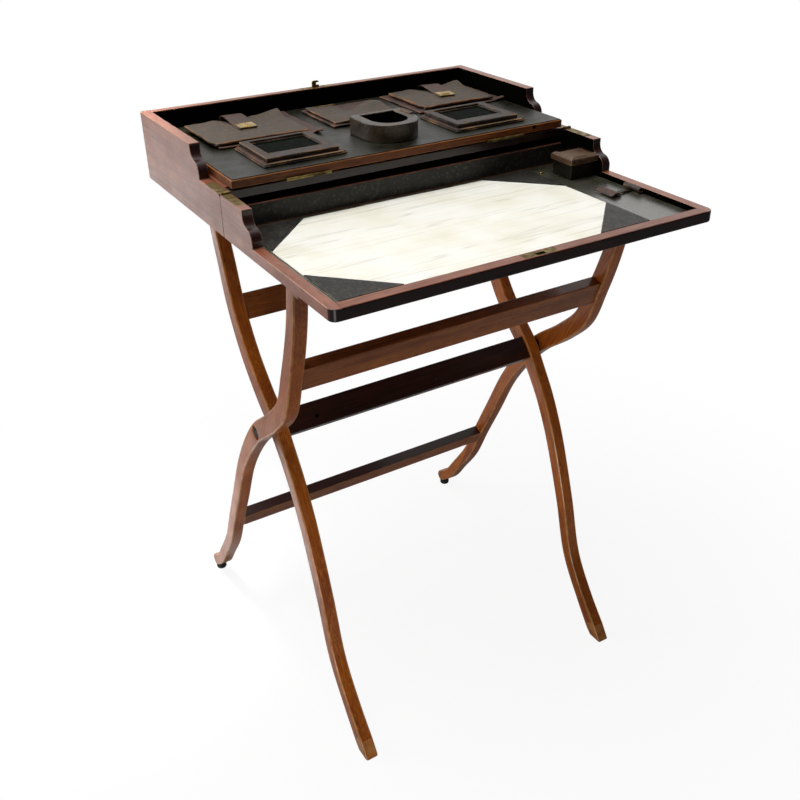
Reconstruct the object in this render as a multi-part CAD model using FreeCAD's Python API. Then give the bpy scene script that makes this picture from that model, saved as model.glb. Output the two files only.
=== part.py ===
import FreeCAD, Part
import math
import os

# Campaign desk: a hinged writing box on a folding stand of crossed, S-curved legs.
# Millimetres. X runs along the hinge line between the two halves of the box, +Y points to the back
# and +Z up. The shapes are drawn from the hinge line (y = 0) and the box's underside (z = 0), and
# export() moves them so that the origin lies on the floor, in the middle of the desk's footprint.

# ---- box ----
BOX_WIDTH = 520.0
HALF_DEPTH = 270.0  # from the hinge line to the outer face, the same for both halves
LOW_HEIGHT = 53.0  # the walls beside the hinge line
THIN_HEIGHT = 14.5  # the leaf's rails in front of its ogee ends
WALL = 13.0
BACK_WALL = 12.0
FRONT_RAIL_DEPTH = 15.0
CASE_BOTTOM = 8.0
LEAF_PANEL = 6.0
SEAM_GAP = 0.4  # between the two halves along the seam, open or closed
OGEE_START = 63.0  # where the walls' low part ends, from the hinge line
OGEE_END = 85.0
OGEE_DROP = 26.0  # height of the ogee's two arcs
CORNER_RADIUS = 9.0
EDGE_ROUND = 2.0

# ---- brass butt hinges on the walls' top edges ----
HINGE_LEAF_LENGTH = 46.0
HINGE_LEAF_THICKNESS = 1.6
HINGE_LEAF_INSET = 1.0  # wood left outside and inside the hinge leaf
KNUCKLE_RADIUS = 2.6
HINGE_PIN_RADIUS = 1.1
KNUCKLES = 5
KNUCKLE_GAP = 0.15
SCREW_HEAD_RADIUS = 2.2
SCREW_LENGTH = 12.0
SCREWS_PER_LEAF = 3
SCREW_ZIGZAG = 2.2

# ---- fits ----
TOLERANCE = 0.01  # for finding an edge by its place
MARGIN = 1.0  # cutters run this far past what they cut
RUNNING_FIT = 0.06  # radial, shaft in a turning bore
TIGHT_FIT = 0.02  # radial, shaft in its own piece
CONTACT_GAP = 0.3  # between pieces that only rest on or pass each other

# ---- case ----
PAPER_SLOT_HEIGHT = 10.0
FRONT_RAIL_THICKNESS = 5.0
FACING = 1.0  # leather on the low front rail
LINING = 0.8
HINGE_RAIL_HEIGHT = 10.5
HINGE_RAIL_DEPTH = 14.0
REST_WIDTH = 9.0
REST_HEIGHT = 12.0

# ---- stationery board ----
BOARD_RISE = 3.0  # from the low walls' tops to the board's underside
BOARD_THICKNESS = 10.0
BOARD_LEATHER = 1.0
BOARD_SIDE_GAP = 3.0
BOARD_BACK_GAP = 3.0
BOARD_HINGE_LENGTH = 60.0
BOARD_HINGE_END_GAP = 68.0  # from the board's end
BOARD_KNUCKLE_RADIUS = 1.9
BOARD_PIN_RADIUS = 0.9
BOARD_HINGE_LEAF = 1.2
BOARD_HINGE_REACH = 11.0

# ---- pouches on the board ----
LEFT_POUCH_END_GAP = 35.0  # from the board's end
LEFT_POUCH_FRONT_GAP = 7.5  # from the window case in front of it
LEFT_PANEL_SHIFT = -12.0  # the pouch's front panel sits off its middle
LEFT_PANEL_WIDTH = 134.0
RIGHT_POUCH_END_GAP = 3.0
RIGHT_POUCH_FRONT_GAP = 18.5
RIGHT_PANEL_SHIFT = -2.0
RIGHT_PANEL_WIDTH = 116.0
POUCH_WIDTH = 146.0
POUCH_BACK_GAP = 12.0  # from the board's back edge
POUCH_THICKNESS = 5.0
POUCH_CORNER = 6.0
FRONT_PANEL_THICKNESS = 3.5
FRONT_PANEL_FRONT_GAP = 6.0  # from the pouch's front edge
FRONT_PANEL_BACK_GAP = 13.0  # from the pouch's back edge
STRAP_WIDTH = 28.0
STRAP_LENGTH = 52.0
STRAP_THICKNESS = 1.6
STRAP_FOOT = 6.0
CLASP_WIDTH = 24.0
CLASP_DEPTH = 24.0
CLASP_THICKNESS = 2.6
CLASP_KNOB_RADIUS = 4.0
CLASP_KNOB_RISE = 1.0

# ---- window cases on the board ----
WINDOW_END_GAP = 50.5  # from the board's end, to pass the shut inkwell
WINDOW_FRONT_GAP = 19.0  # from the board's front edge
WINDOW_BASE_WIDTH = 111.0
WINDOW_BASE_DEPTH = 92.0
WINDOW_BASE = 3.2
WINDOW_FRAME_WIDTH = 98.0
WINDOW_FRAME_DEPTH = 83.0
WINDOW_FRAME = 5.5
WINDOW_FRAME_INSET = 7.0  # the base shows in front of the frame
WINDOW_BORDER = 11.0
WINDOW_FRONT_BORDER = 20.0
WINDOW_BACK_BORDER = 5.5
WINDOW_RECESS = 4.0
WINDOW_GLASS = 1.5

# ---- centre pouch and holder ring ----
CENTRE_POUCH_LEFT_GAP = 22.0  # from the left pouch
CENTRE_POUCH_RIGHT_GAP = 30.0  # from the right pouch
CENTRE_POUCH_FRONT_GAP = 32.0  # from the holder ring's back
CENTRE_POUCH_BACK_GAP = 24.0  # from the board's back edge
CENTRE_POUCH_THICKNESS = 5.5
CENTRE_FLAP_DEPTH = 56.0
CENTRE_FLAP_THICKNESS = 2.6
CENTRE_FLAP_RISE = 5.0
BAR_LENGTH = 42.0
BAR_WIDTH = 5.0
BAR_THICKNESS = 2.0
BAR_INSET = 7.0
RING_X = 3.0
RING_RADIUS = 39.0
RING_FRONT_GAP = 23.0
RING_STRAIGHT = 36.0  # from the round front's centre to the flat back
RING_HEIGHT = 23.0
RING_BORE = 22.5
RING_BORE_SHIFT = 3.0
RING_BORE_SET_BACK = 4.0
RING_BACK_WALL = 6.0
LOOP_THICKNESS = 3.0
LOOP_DEPTH = 30.0
LOOP_HEIGHT = 20.0
LOOP_BACK_GAP = 6.0

# ---- writing leaf ----
WRITING_LEATHER = 1.0
BLOTTER_THICKNESS = 1.2
BLOTTER_LEFT_GAP = 9.0
BLOTTER_RIGHT_GAP = 65.0  # room for the inkwell and the pen loop
BLOTTER_FRONT_GAP = 12.0
BLOTTER_BACK_GAP = 10.0
CORNER_LEG = 70.0
CORNER_THICKNESS = 0.9
STUD_FROM_WALL = 54.0
STUD_FROM_SEAM = 27.0
STUD_RADIUS = 3.0
STUD_HEIGHT = 1.6

# ---- travelling inkwell ----
INKWELL_WIDTH = 42.0
INKWELL_DEPTH = 38.0
INKWELL_HEIGHT = 21.0
INKWELL_WALL = 4.0
INKWELL_FLOOR = 2.0
INKWELL_FROM_SEAM = 34.0
INKWELL_SIDE_GAP = 1.0  # to the leaf's right wall
LID_OVERHANG = 5.0
LID_THICKNESS = 8.0
LID_PIN_RADIUS = 0.9
LID_BARREL_RADIUS = 1.9
LID_KNUCKLE_LENGTH = 12.0
LID_KNUCKLES = 3
BOTTLE_RIM_DROP = 1.0
BOTTLE_BORE = 11.0
BOTTLE_FLOOR = 3.0

# ---- pen loop ----
PEN_PATCH_WIDTH = 17.0
PEN_STRAP_DEPTH = 26.0
PEN_STRAP_THICKNESS = 1.6
PEN_STRAP_FROM_SEAM = 129.0
PEN_STRAP_RISE = 7.0
PEN_STRAP_SPAN = 18.0
PEN_ROLL_RADIUS = 4.4
PEN_ROLL_BORE = 3.4
PEN_ROLL_LENGTH = 30.0
PEN_ROLL_FROM_SEAM = 134.0

# ---- lock ----
CATCH_PLATE_LENGTH = 50.0
CATCH_PLATE_DEPTH = 9.0
CATCH_PLATE_THICKNESS = 1.2
CATCH_WIDTH = 11.0
CATCH_THICKNESS = 2.2
CATCH_HEIGHT = 9.0
CATCH_ROUND = 2.5
CATCH_NOTCH_LOW = 3.0  # above the back wall
CATCH_NOTCH_HEIGHT = 3.4
CATCH_NOTCH_DEPTH = 4.5
LOCK_PLATE_LENGTH = 46.0
LOCK_PLATE_DEPTH = 11.0
LOCK_PLATE_THICKNESS = 1.2
LOCK_SIDE_CLEARANCE = 0.6
LOCK_SWING_CLEARANCE = 2.0  # for the catch's tip as the leaf swings down
LOCK_CASE_LENGTH = 40.0
LOCK_CASE_DEPTH = 9.0
LOCK_CASE_FLOOR = 1.0
LOCK_BOLT_HEIGHT = 2.4
LOCK_BOLT_DEPTH = 5.0
LOCK_BOLT_LENGTH = 10.0
LOCK_BOLT_TRAVEL = 4.0

# ---- stand ----
STAND_HEIGHT = 706.0  # from the floor to the box's underside
LEG_INSET = 13.5  # from the box's side to the outer legs
LEG_THICKNESS = 19.0
LEG_GAP = 5.0  # between an outer and an inner leg
PIVOT_Y = 3.0
PIVOT_DROP = 279.0  # below the box's underside
OUTER_TOP_Y = -147.0
OUTER_FOOT_Y = 266.0
INNER_TOP_Y = 150.0
INNER_FOOT_Y = -218.0
TOP_PIVOT_DROP = 12.0
TOP_ROUND = 10.5
TOE_RADIUS = 8.5
TOE_RISE = 18.0  # middle of the back foot above the floor
UPPER_RAIL_HEIGHT = 37.0
TOP_RAIL_HEIGHT = 36.0
MIDDLE_RAIL_HEIGHT = 35.0
LOWER_RAIL_HEIGHT = 31.0
UPPER_RAIL_THICKNESS = 17.0
MIDDLE_RAIL_THICKNESS = 18.0
LOWER_RAIL_THICKNESS = 15.0
RAIL_ROUND = 1.5
PIVOT_RADIUS = 4.0
PIVOT_HEAD_RADIUS = 7.0
PIVOT_HEAD_THICKNESS = 3.0
PIVOT_RECESS = 4.0
RECESS_CLEARANCE = 0.6
PIVOT_GRIP = 18.0  # length of a bolt in the middle rail or in its block
WASHER_RADIUS = 10.0
BLOCK_WIDTH = 20.0
BLOCK_DEPTH = 34.0
BLOCK_DROP = 26.0
BLOCK_ROUND = 8.0
CLEAT_WIDTH = 26.0
CLEAT_DEPTH = 16.0
CLEAT_HEIGHT = 14.0
GLIDE_RADIUS = 6.5
GLIDE_SEAT = 3.0  # depth of a glide's top in its foot
# Each leg's middle line between its ends, as (share across, share down, width).
OUTER_UPPER = [
    (0.067, 0.215, 20), (0.141, 0.358, 22), (0.242, 0.512, 24), (0.389, 0.706, 26), (0.631, 0.839, 27),
]
OUTER_LOWER = [
    (0.132, 0.096, 24), (0.272, 0.227, 21), (0.423, 0.422, 21), (0.555, 0.593, 20),
    (0.657, 0.731, 20), (0.804, 0.867, 19), (0.894, 0.946, 18),
]
INNER_UPPER = [
    (0.048, 0.142, 21), (0.136, 0.292, 22), (0.211, 0.431, 24), (0.333, 0.577, 25),
    (0.497, 0.719, 26), (0.735, 0.865, 27),
]
INNER_LOWER = [
    (0.086, 0.058, 24), (0.208, 0.148, 22), (0.330, 0.269, 21), (0.439, 0.412, 20),
    (0.511, 0.518, 19.5), (0.661, 0.752, 19), (0.819, 0.874, 19), (1.0, 0.991, 18), (1.05, 1.025, 18),
]
PIVOT_LEG_WIDTH = 27
TOP_LEG_WIDTH = 19
# Rails on the legs' middle lines, as (share across, share down), and their lean to the back.
UPPER_RAIL_AT = (0.242, 0.512)
UPPER_RAIL_LEAN_DEGREES = -19.0
TOP_RAIL_AT = (0.272, 0.504)
TOP_RAIL_LEAN_DEGREES = 24.0
LOWER_RAIL_AT = (0.555, 0.593)

# ---- worked out ----
HALF_WIDTH = BOX_WIDTH / 2
INNER_X = HALF_WIDTH - WALL
FOLD_Z = LOW_HEIGHT + SEAM_GAP / 2
BOARD_UNDERSIDE = LOW_HEIGHT + BOARD_RISE
TALL_HEIGHT = 2 * FOLD_Z - THIN_HEIGHT - SEAM_GAP
CASE_FRONT_Y = SEAM_GAP / 2
LEAF_BACK_Y = -SEAM_GAP / 2
CASE_INSIDE_Y = HALF_DEPTH - BACK_WALL
LEAF_INSIDE_Y = -HALF_DEPTH + FRONT_RAIL_DEPTH
WRITING_Z = LEAF_PANEL + WRITING_LEATHER
BOARD_TOP = BOARD_UNDERSIDE + BOARD_THICKNESS + BOARD_LEATHER
BOARD_HALF = INNER_X - BOARD_SIDE_GAP
BOARD_FRONT_Y = CASE_FRONT_Y + CONTACT_GAP
BOARD_BACK_Y = CASE_INSIDE_Y - BOARD_BACK_GAP
BOARD_AXIS_Y = BOARD_FRONT_Y - BOARD_KNUCKLE_RADIUS
BOARD_AXIS_Z = BOARD_UNDERSIDE - CONTACT_GAP / 2
OUTER_LEG_FACE = HALF_WIDTH - LEG_INSET
OUTER_LEG_X = OUTER_LEG_FACE - LEG_THICKNESS
INNER_LEG_FACE = OUTER_LEG_X - LEG_GAP
INNER_LEG_X = INNER_LEG_FACE - LEG_THICKNESS
FOOTPRINT_SHIFT = -(OUTER_FOOT_Y + TOE_RADIUS - HALF_DEPTH) / 2
PIVOT = (PIVOT_Y, -PIVOT_DROP)
TOP_PIVOT = (INNER_TOP_Y, -TOP_PIVOT_DROP)
OUTER_TOP = (OUTER_TOP_Y, -CONTACT_GAP)
TOE = (OUTER_FOOT_Y, TOE_RISE - STAND_HEIGHT)
INNER_FOOT = (INNER_FOOT_Y, -STAND_HEIGHT)
CATCH_Y = CASE_INSIDE_Y + BACK_WALL / 2
INKWELL_X0 = INNER_X - INKWELL_SIDE_GAP - INKWELL_WIDTH
INKWELL_X1 = INNER_X - INKWELL_SIDE_GAP
INKWELL_Y0 = -INKWELL_FROM_SEAM - INKWELL_DEPTH
INKWELL_Y1 = -INKWELL_FROM_SEAM
LID_Z = WRITING_Z + INKWELL_HEIGHT + CONTACT_GAP
LID_AXIS_Y = INKWELL_Y1 + LID_BARREL_RADIUS
LID_AXIS_Z = LID_Z - CONTACT_GAP / 2
LID_HINGE_X0 = (INKWELL_X0 + INKWELL_X1 - LID_KNUCKLES * LID_KNUCKLE_LENGTH) / 2
HINGE_RAIL_TOP = BOARD_UNDERSIDE - BOARD_HINGE_LEAF - CONTACT_GAP
FRONT_RAIL_TOP = HINGE_RAIL_TOP - HINGE_RAIL_HEIGHT - PAPER_SLOT_HEIGHT
WINDOW_X = BOARD_HALF - WINDOW_END_GAP - WINDOW_BASE_WIDTH / 2
WINDOW_FRONT_Y = BOARD_FRONT_Y + WINDOW_FRONT_GAP
WINDOW_BACK_Y = WINDOW_FRONT_Y + WINDOW_BASE_DEPTH
LEFT_POUCH_X = -BOARD_HALF + LEFT_POUCH_END_GAP + POUCH_WIDTH / 2
RIGHT_POUCH_X = BOARD_HALF - RIGHT_POUCH_END_GAP - POUCH_WIDTH / 2
POUCH_BACK_Y = BOARD_BACK_Y - POUCH_BACK_GAP
PANEL_BACK_Y = POUCH_BACK_Y - FRONT_PANEL_BACK_GAP
PANEL_TOP = BOARD_TOP + POUCH_THICKNESS + FRONT_PANEL_THICKNESS
STRAP_BACK_Y = PANEL_BACK_Y + CONTACT_GAP + STRAP_FOOT
RING_Y = BOARD_FRONT_Y + RING_FRONT_GAP + RING_RADIUS
RING_BACK_Y = RING_Y + RING_STRAIGHT
CENTRE_POUCH_X0 = LEFT_POUCH_X + POUCH_WIDTH / 2 + CENTRE_POUCH_LEFT_GAP
CENTRE_POUCH_X1 = RIGHT_POUCH_X - POUCH_WIDTH / 2 - CENTRE_POUCH_RIGHT_GAP
CENTRE_POUCH_BACK_Y = BOARD_BACK_Y - CENTRE_POUCH_BACK_GAP
CENTRE_POUCH_FRONT_Y = RING_BACK_Y + CENTRE_POUCH_FRONT_GAP
PEN_ROLL_X = INNER_X - CONTACT_GAP - PEN_ROLL_RADIUS
SIDES = (-1, 1)
X_AXIS = (1, 0, 0)
UP = (0, 0, 1)


def box(x0, x1, y0, y1, z0, z1):
    low = FreeCAD.Vector(min(x0, x1), min(y0, y1), min(z0, z1))
    return Part.makeBox(abs(x1 - x0), abs(y1 - y0), abs(z1 - z0), low)


def rod(start, direction, radius, length):
    return Part.makeCylinder(radius, length, FreeCAD.Vector(*start), FreeCAD.Vector(*direction))


def cross_rod(x0, y, z, radius, length):
    """Cylinder along X."""
    return rod((x0, y, z), X_AXIS, radius, length)


def near(a, b):
    return abs(a - b) < TOLERANCE


def side_face(edges):
    """A face in the YZ plane from a list of edges that close on each other."""
    return Part.Face(Part.Wire(Part.__sortEdges__(edges)))


def line(a, b):
    return Part.LineSegment(FreeCAD.Vector(0, *a), FreeCAD.Vector(0, *b)).toShape()


def polyline(points):
    return [line(a, b) for a, b in zip(points[:-1], points[1:])]


def across(face, x0, x1):
    """Extrude a face of the YZ plane from x0 to x1."""
    moved = face.copy()
    moved.translate(FreeCAD.Vector(min(x0, x1), 0, 0))
    return moved.extrude(FreeCAD.Vector(abs(x1 - x0), 0, 0))


def mirrored(shape):
    return shape.mirror(FreeCAD.Vector(0, 0, 0), FreeCAD.Vector(1, 0, 0))


def pair(shape):
    """A right-hand shape and its mirror image, as separate solids."""
    return Part.makeCompound([mirrored(shape), shape])


def round_edges(shape, radius, wanted):
    """Fillet the edges whose middle point passes the test."""
    edges = [e for e in shape.Edges if wanted(e.CenterOfMass)]
    return shape.makeFillet(radius, edges)


def turned(shape, y, z, degrees):
    """Turn a shape about the X-wise axis through (y, z)."""
    result = shape.copy()
    result.rotate(FreeCAD.Vector(0, y, z), FreeCAD.Vector(1, 0, 0), degrees)
    return result


def export(name, shape):
    moved = shape.copy()
    moved.translate(FreeCAD.Vector(0, FOOTPRINT_SHIFT, STAND_HEIGHT))
    moved.exportStep("parts/" + name + ".step")


# ---------------------------------------------------------------- box walls

def ogee(start, end):
    """Two equal arcs, upright at both ends, from start down and out to end, in (y, z)."""
    out = end[0] - start[0]
    drop = start[1] - end[1]
    turn = 2 * math.atan2(abs(out), abs(drop))
    radius = abs(drop) / (2 * math.sin(turn))
    sign = math.copysign(1, out)
    middle = ((start[0] + end[0]) / 2, (start[1] + end[1]) / 2)
    bulge = radius * (1 - math.cos(turn / 2))
    sag = radius * math.sin(turn / 2)
    upper = (start[0] + sign * bulge, start[1] - sag)
    lower = (end[0] - sign * bulge, end[1] + sag)
    return [
        Part.Arc(*[FreeCAD.Vector(0, *p) for p in (start, upper, middle)]).toShape(),
        Part.Arc(*[FreeCAD.Vector(0, *p) for p in (middle, lower, end)]).toShape(),
    ]


def leaf_wall_face():
    """Side view of a leaf wall: low part, ogee, then the thin rail."""
    top = (LOW_HEIGHT + THIN_HEIGHT + OGEE_DROP) / 2
    start = (-OGEE_START, top)
    end = (-OGEE_END, top - OGEE_DROP)
    edges = [line((LEAF_BACK_Y, 0), (LEAF_BACK_Y, LOW_HEIGHT))]
    edges += polyline([(LEAF_BACK_Y, LOW_HEIGHT), (-OGEE_START, LOW_HEIGHT), start])
    edges += ogee(start, end)
    edges += polyline([end, (-OGEE_END, THIN_HEIGHT), (-HALF_DEPTH, THIN_HEIGHT), (-HALF_DEPTH, 0)])
    edges.append(line((-HALF_DEPTH, 0), (LEAF_BACK_Y, 0)))
    return side_face(edges)


def case_wall_face():
    """Side view of a case wall, the leaf wall's counterpart once the box is folded shut."""
    top = 2 * FOLD_Z - (LOW_HEIGHT + THIN_HEIGHT - OGEE_DROP) / 2
    start = (OGEE_END + SEAM_GAP, top)
    end = (OGEE_START + SEAM_GAP, top - OGEE_DROP)
    edges = [line((CASE_FRONT_Y, 0), (CASE_FRONT_Y, LOW_HEIGHT))]
    edges += polyline([(CASE_FRONT_Y, LOW_HEIGHT), (end[0], LOW_HEIGHT), end])
    edges += ogee(start, end)
    edges += polyline([start, (start[0], TALL_HEIGHT), (HALF_DEPTH, TALL_HEIGHT), (HALF_DEPTH, 0)])
    edges.append(line((HALF_DEPTH, 0), (CASE_FRONT_Y, 0)))
    return side_face(edges)


def knuckle_notch():
    return cross_rod(INNER_X - MARGIN, 0, FOLD_Z, KNUCKLE_RADIUS + SEAM_GAP, WALL + 2 * MARGIN)


def leaf_seat(side):
    """Recess of a hinge leaf in a wall's top edge; side is -1 in the leaf and 1 in the case."""
    x0 = INNER_X + HINGE_LEAF_INSET
    x1 = HALF_WIDTH - HINGE_LEAF_INSET
    z0 = LOW_HEIGHT - HINGE_LEAF_THICKNESS
    return box(x0, x1, 0, side * HINGE_LEAF_LENGTH, z0, LOW_HEIGHT + MARGIN)


def screw_places(side):
    """(x, y) of the screws of a hinge leaf, in a gentle zigzag."""
    middle = (INNER_X + HALF_WIDTH) / 2
    step = HINGE_LEAF_LENGTH / (SCREWS_PER_LEAF + 0.5)
    for i in range(SCREWS_PER_LEAF):
        yield middle + SCREW_ZIGZAG * (1 if i % 2 else -1), side * step * (i + 1)


def screw(x, y, top):
    head_drop = SCREW_HEAD_RADIUS / 2
    point = FreeCAD.Vector(x, y, top - head_drop)
    head = Part.makeCone(SCREW_HEAD_RADIUS / 2, SCREW_HEAD_RADIUS, head_drop, point)
    shank = rod((x, y, top - SCREW_LENGTH), UP, SCREW_HEAD_RADIUS / 2, SCREW_LENGTH - head_drop)
    return head.fuse(shank).removeSplitter()


def screw_hole(x, y, top):
    head_drop = SCREW_HEAD_RADIUS / 2 + TIGHT_FIT
    point = FreeCAD.Vector(x, y, top - head_drop)
    radius = SCREW_HEAD_RADIUS / 2 + TIGHT_FIT
    head = Part.makeCone(radius, SCREW_HEAD_RADIUS + 2 * TIGHT_FIT, head_drop + TIGHT_FIT, point)
    depth = SCREW_LENGTH + TIGHT_FIT
    return head.fuse(rod((x, y, top - depth), UP, radius, depth - head_drop))


def wall_with_hinge_seat(face, side):
    wall = across(face, INNER_X, HALF_WIDTH)
    wall = wall.cut(knuckle_notch()).cut(leaf_seat(side))
    for x, y in screw_places(side):
        wall = wall.cut(screw_hole(x, y, LOW_HEIGHT))
    return wall


def leaf_wall():
    wall = wall_with_hinge_seat(leaf_wall_face(), -1)
    corner = round_edges(
        wall,
        CORNER_RADIUS,
        lambda c: near(c.y, -HALF_DEPTH) and near(c.x, HALF_WIDTH),
    )
    return round_edges(
        corner,
        EDGE_ROUND,
        lambda c: near(c.z, 0) and c.x > HALF_WIDTH - TOLERANCE,
    )


def case_wall():
    wall = wall_with_hinge_seat(case_wall_face(), 1)
    return round_edges(
        wall,
        EDGE_ROUND,
        lambda c: near(c.x, HALF_WIDTH) and (near(c.y, HALF_DEPTH) or near(c.z, 0)),
    )


def back_wall():
    wall = box(-INNER_X, INNER_X, CASE_INSIDE_Y, HALF_DEPTH, 0, TALL_HEIGHT)
    wall = round_edges(
        wall,
        EDGE_ROUND,
        lambda c: near(c.y, HALF_DEPTH) and (near(c.z, 0) or near(c.z, TALL_HEIGHT)),
    )
    return wall.cut(catch_plate())


def case_bottom():
    return box(-INNER_X, INNER_X, CASE_FRONT_Y, CASE_INSIDE_Y, 0, CASE_BOTTOM)


def case_front_rail():
    y0 = CASE_FRONT_Y + FACING
    return box(-INNER_X, INNER_X, y0, y0 + FRONT_RAIL_THICKNESS, CASE_BOTTOM, FRONT_RAIL_TOP)


def front_facing():
    y1 = CASE_FRONT_Y + FACING
    return box(-INNER_X, INNER_X, CASE_FRONT_Y, y1, CASE_BOTTOM, FRONT_RAIL_TOP - FACING)


def board_hinge_rail():
    y1 = BOARD_FRONT_Y + HINGE_RAIL_DEPTH
    return box(-INNER_X, INNER_X, BOARD_FRONT_Y, y1, HINGE_RAIL_TOP - HINGE_RAIL_HEIGHT, HINGE_RAIL_TOP)


def board_rests():
    """Battens under the stationery board's ends and back edge."""
    top = BOARD_UNDERSIDE - CONTACT_GAP
    start = BOARD_FRONT_Y + HINGE_RAIL_DEPTH
    end = CASE_INSIDE_Y - REST_WIDTH
    side = box(INNER_X - REST_WIDTH, INNER_X, start, end, top - REST_HEIGHT, top)
    back = box(-INNER_X, INNER_X, end, CASE_INSIDE_Y, top - REST_HEIGHT, top)
    return Part.makeCompound([mirrored(side), side, back])


def case_lining():
    """Black lining above the board: on the back wall and on both side walls."""
    base = BOARD_UNDERSIDE - CONTACT_GAP
    top = TALL_HEIGHT - 2 * LINING
    back = box(-INNER_X, INNER_X, CASE_INSIDE_Y - LINING, CASE_INSIDE_Y, base, top)
    start = OGEE_END + SEAM_GAP + 2 * LINING
    side = box(INNER_X - LINING, INNER_X, start, CASE_INSIDE_Y - LINING, base, top)
    return Part.makeCompound([mirrored(side), side, back])


# ---------------------------------------------------------------- butt hinges

def knuckle_spans(width, count):
    """Start and length of each knuckle across a width."""
    pitch = width / count
    return [(i * pitch + KNUCKLE_GAP / 2, pitch - KNUCKLE_GAP) for i in range(count)]


def butt_hinge_leaf(side, first, pin):
    """One leaf of a wall hinge: side -1 is the leaf's, 1 the case's; the case's leaf holds the pin."""
    x0 = INNER_X + HINGE_LEAF_INSET
    width = WALL - 2 * HINGE_LEAF_INSET
    low = LOW_HEIGHT - HINGE_LEAF_THICKNESS
    reach = KNUCKLE_RADIUS + SEAM_GAP
    plate = box(x0, x0 + width, side * reach, side * HINGE_LEAF_LENGTH, low, LOW_HEIGHT)
    bore = HINGE_PIN_RADIUS + (TIGHT_FIT if pin else RUNNING_FIT)
    for i, (start, length) in enumerate(knuckle_spans(width, KNUCKLES)):
        if i % 2 != first:
            continue
        barrel = cross_rod(x0 + start, 0, FOLD_Z, KNUCKLE_RADIUS, length)
        neck = box(x0 + start, x0 + start + length, 0, side * reach, low, LOW_HEIGHT)
        plate = plate.fuse(barrel).fuse(neck)
    plate = plate.cut(cross_rod(x0 - MARGIN, 0, FOLD_Z, bore, width + 2 * MARGIN))
    for x, y in screw_places(side):
        plate = plate.cut(screw_hole(x, y, LOW_HEIGHT))
    return plate.removeSplitter()


def hinge_pin():
    x0 = INNER_X + HINGE_LEAF_INSET
    return cross_rod(x0, 0, FOLD_Z, HINGE_PIN_RADIUS, WALL - 2 * HINGE_LEAF_INSET)


def hinge_group(side, first, pin):
    solids = [butt_hinge_leaf(side, first, pin)]
    if pin:
        solids.append(hinge_pin())
    solids += [screw(x, y, LOW_HEIGHT) for x, y in screw_places(side)]
    return Part.makeCompound([mirrored(s) for s in solids] + solids)


# ---------------------------------------------------------------- lock

def catch_plate():
    half = CATCH_PLATE_LENGTH / 2
    y0 = CATCH_Y - CATCH_PLATE_DEPTH / 2
    z0 = TALL_HEIGHT - CATCH_PLATE_THICKNESS
    return box(-half, half, y0, y0 + CATCH_PLATE_DEPTH, z0, TALL_HEIGHT)


def lock_catch():
    """Plate in the back wall's top with the standing catch and the bolt's notch in its side."""
    x0 = -CATCH_WIDTH / 2
    x1 = CATCH_WIDTH / 2
    y0 = CATCH_Y - CATCH_THICKNESS / 2
    y1 = CATCH_Y + CATCH_THICKNESS / 2
    top = TALL_HEIGHT + CATCH_HEIGHT
    tongue = box(x0, x1, y0, y1, TALL_HEIGHT, top)
    tongue = round_edges(tongue, CATCH_ROUND, lambda c: near(c.z, top) and near(c.y, CATCH_Y))
    low = TALL_HEIGHT + CATCH_NOTCH_LOW
    notch = box(x1 - CATCH_NOTCH_DEPTH, x1 + MARGIN, y0 - MARGIN, y1 + MARGIN, low, low + CATCH_NOTCH_HEIGHT)
    return catch_plate().fuse(tongue.cut(notch)).removeSplitter()


def folded_z(z):
    """Height in the open leaf of what meets it at height z when the box is shut."""
    return 2 * FOLD_Z - z


def lock_well(z0, z1):
    """Room for the catch and its swing, in the leaf's front rail."""
    half_x = CATCH_WIDTH / 2 + LOCK_SIDE_CLEARANCE
    half_y = CATCH_THICKNESS / 2 + LOCK_SWING_CLEARANCE
    return box(-half_x, half_x, -CATCH_Y - half_y, -CATCH_Y + half_y, z0, z1)


def lock_case_block():
    floor = folded_z(TALL_HEIGHT + CATCH_HEIGHT) - LOCK_SIDE_CLEARANCE - LOCK_CASE_FLOOR
    half_x = LOCK_CASE_LENGTH / 2
    half_y = LOCK_CASE_DEPTH / 2
    top = THIN_HEIGHT - LOCK_PLATE_THICKNESS
    return box(-half_x, half_x, -CATCH_Y - half_y, -CATCH_Y + half_y, floor, top)


def lock_bolt():
    x0 = CATCH_WIDTH / 2 + LOCK_SIDE_CLEARANCE + CONTACT_GAP
    middle = folded_z(TALL_HEIGHT + CATCH_NOTCH_LOW + CATCH_NOTCH_HEIGHT / 2)
    half_y = LOCK_BOLT_DEPTH / 2
    half_z = LOCK_BOLT_HEIGHT / 2
    y0, y1 = -CATCH_Y - half_y, -CATCH_Y + half_y
    return box(x0, x0 + LOCK_BOLT_LENGTH, y0, y1, middle - half_z, middle + half_z)


def lock_case():
    block = lock_case_block()
    floor = folded_z(TALL_HEIGHT + CATCH_HEIGHT) - LOCK_SIDE_CLEARANCE
    bolt = lock_bolt().BoundBox
    fit = RUNNING_FIT
    x0, x1 = bolt.XMin - LOCK_BOLT_TRAVEL, bolt.XMax + fit
    channel = box(x0, x1, bolt.YMin - fit, bolt.YMax + fit, bolt.ZMin - fit, bolt.ZMax + fit)
    return block.cut(lock_well(floor, THIN_HEIGHT)).cut(channel)


def lock_plate_blank():
    half_x = LOCK_PLATE_LENGTH / 2
    y0 = -HALF_DEPTH + EDGE_ROUND
    z0 = THIN_HEIGHT - LOCK_PLATE_THICKNESS
    return box(-half_x, half_x, y0, y0 + LOCK_PLATE_DEPTH, z0, THIN_HEIGHT)


def lock_plate():
    z0 = THIN_HEIGHT - LOCK_PLATE_THICKNESS
    return lock_plate_blank().cut(lock_well(z0 - MARGIN, THIN_HEIGHT + MARGIN))


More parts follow.
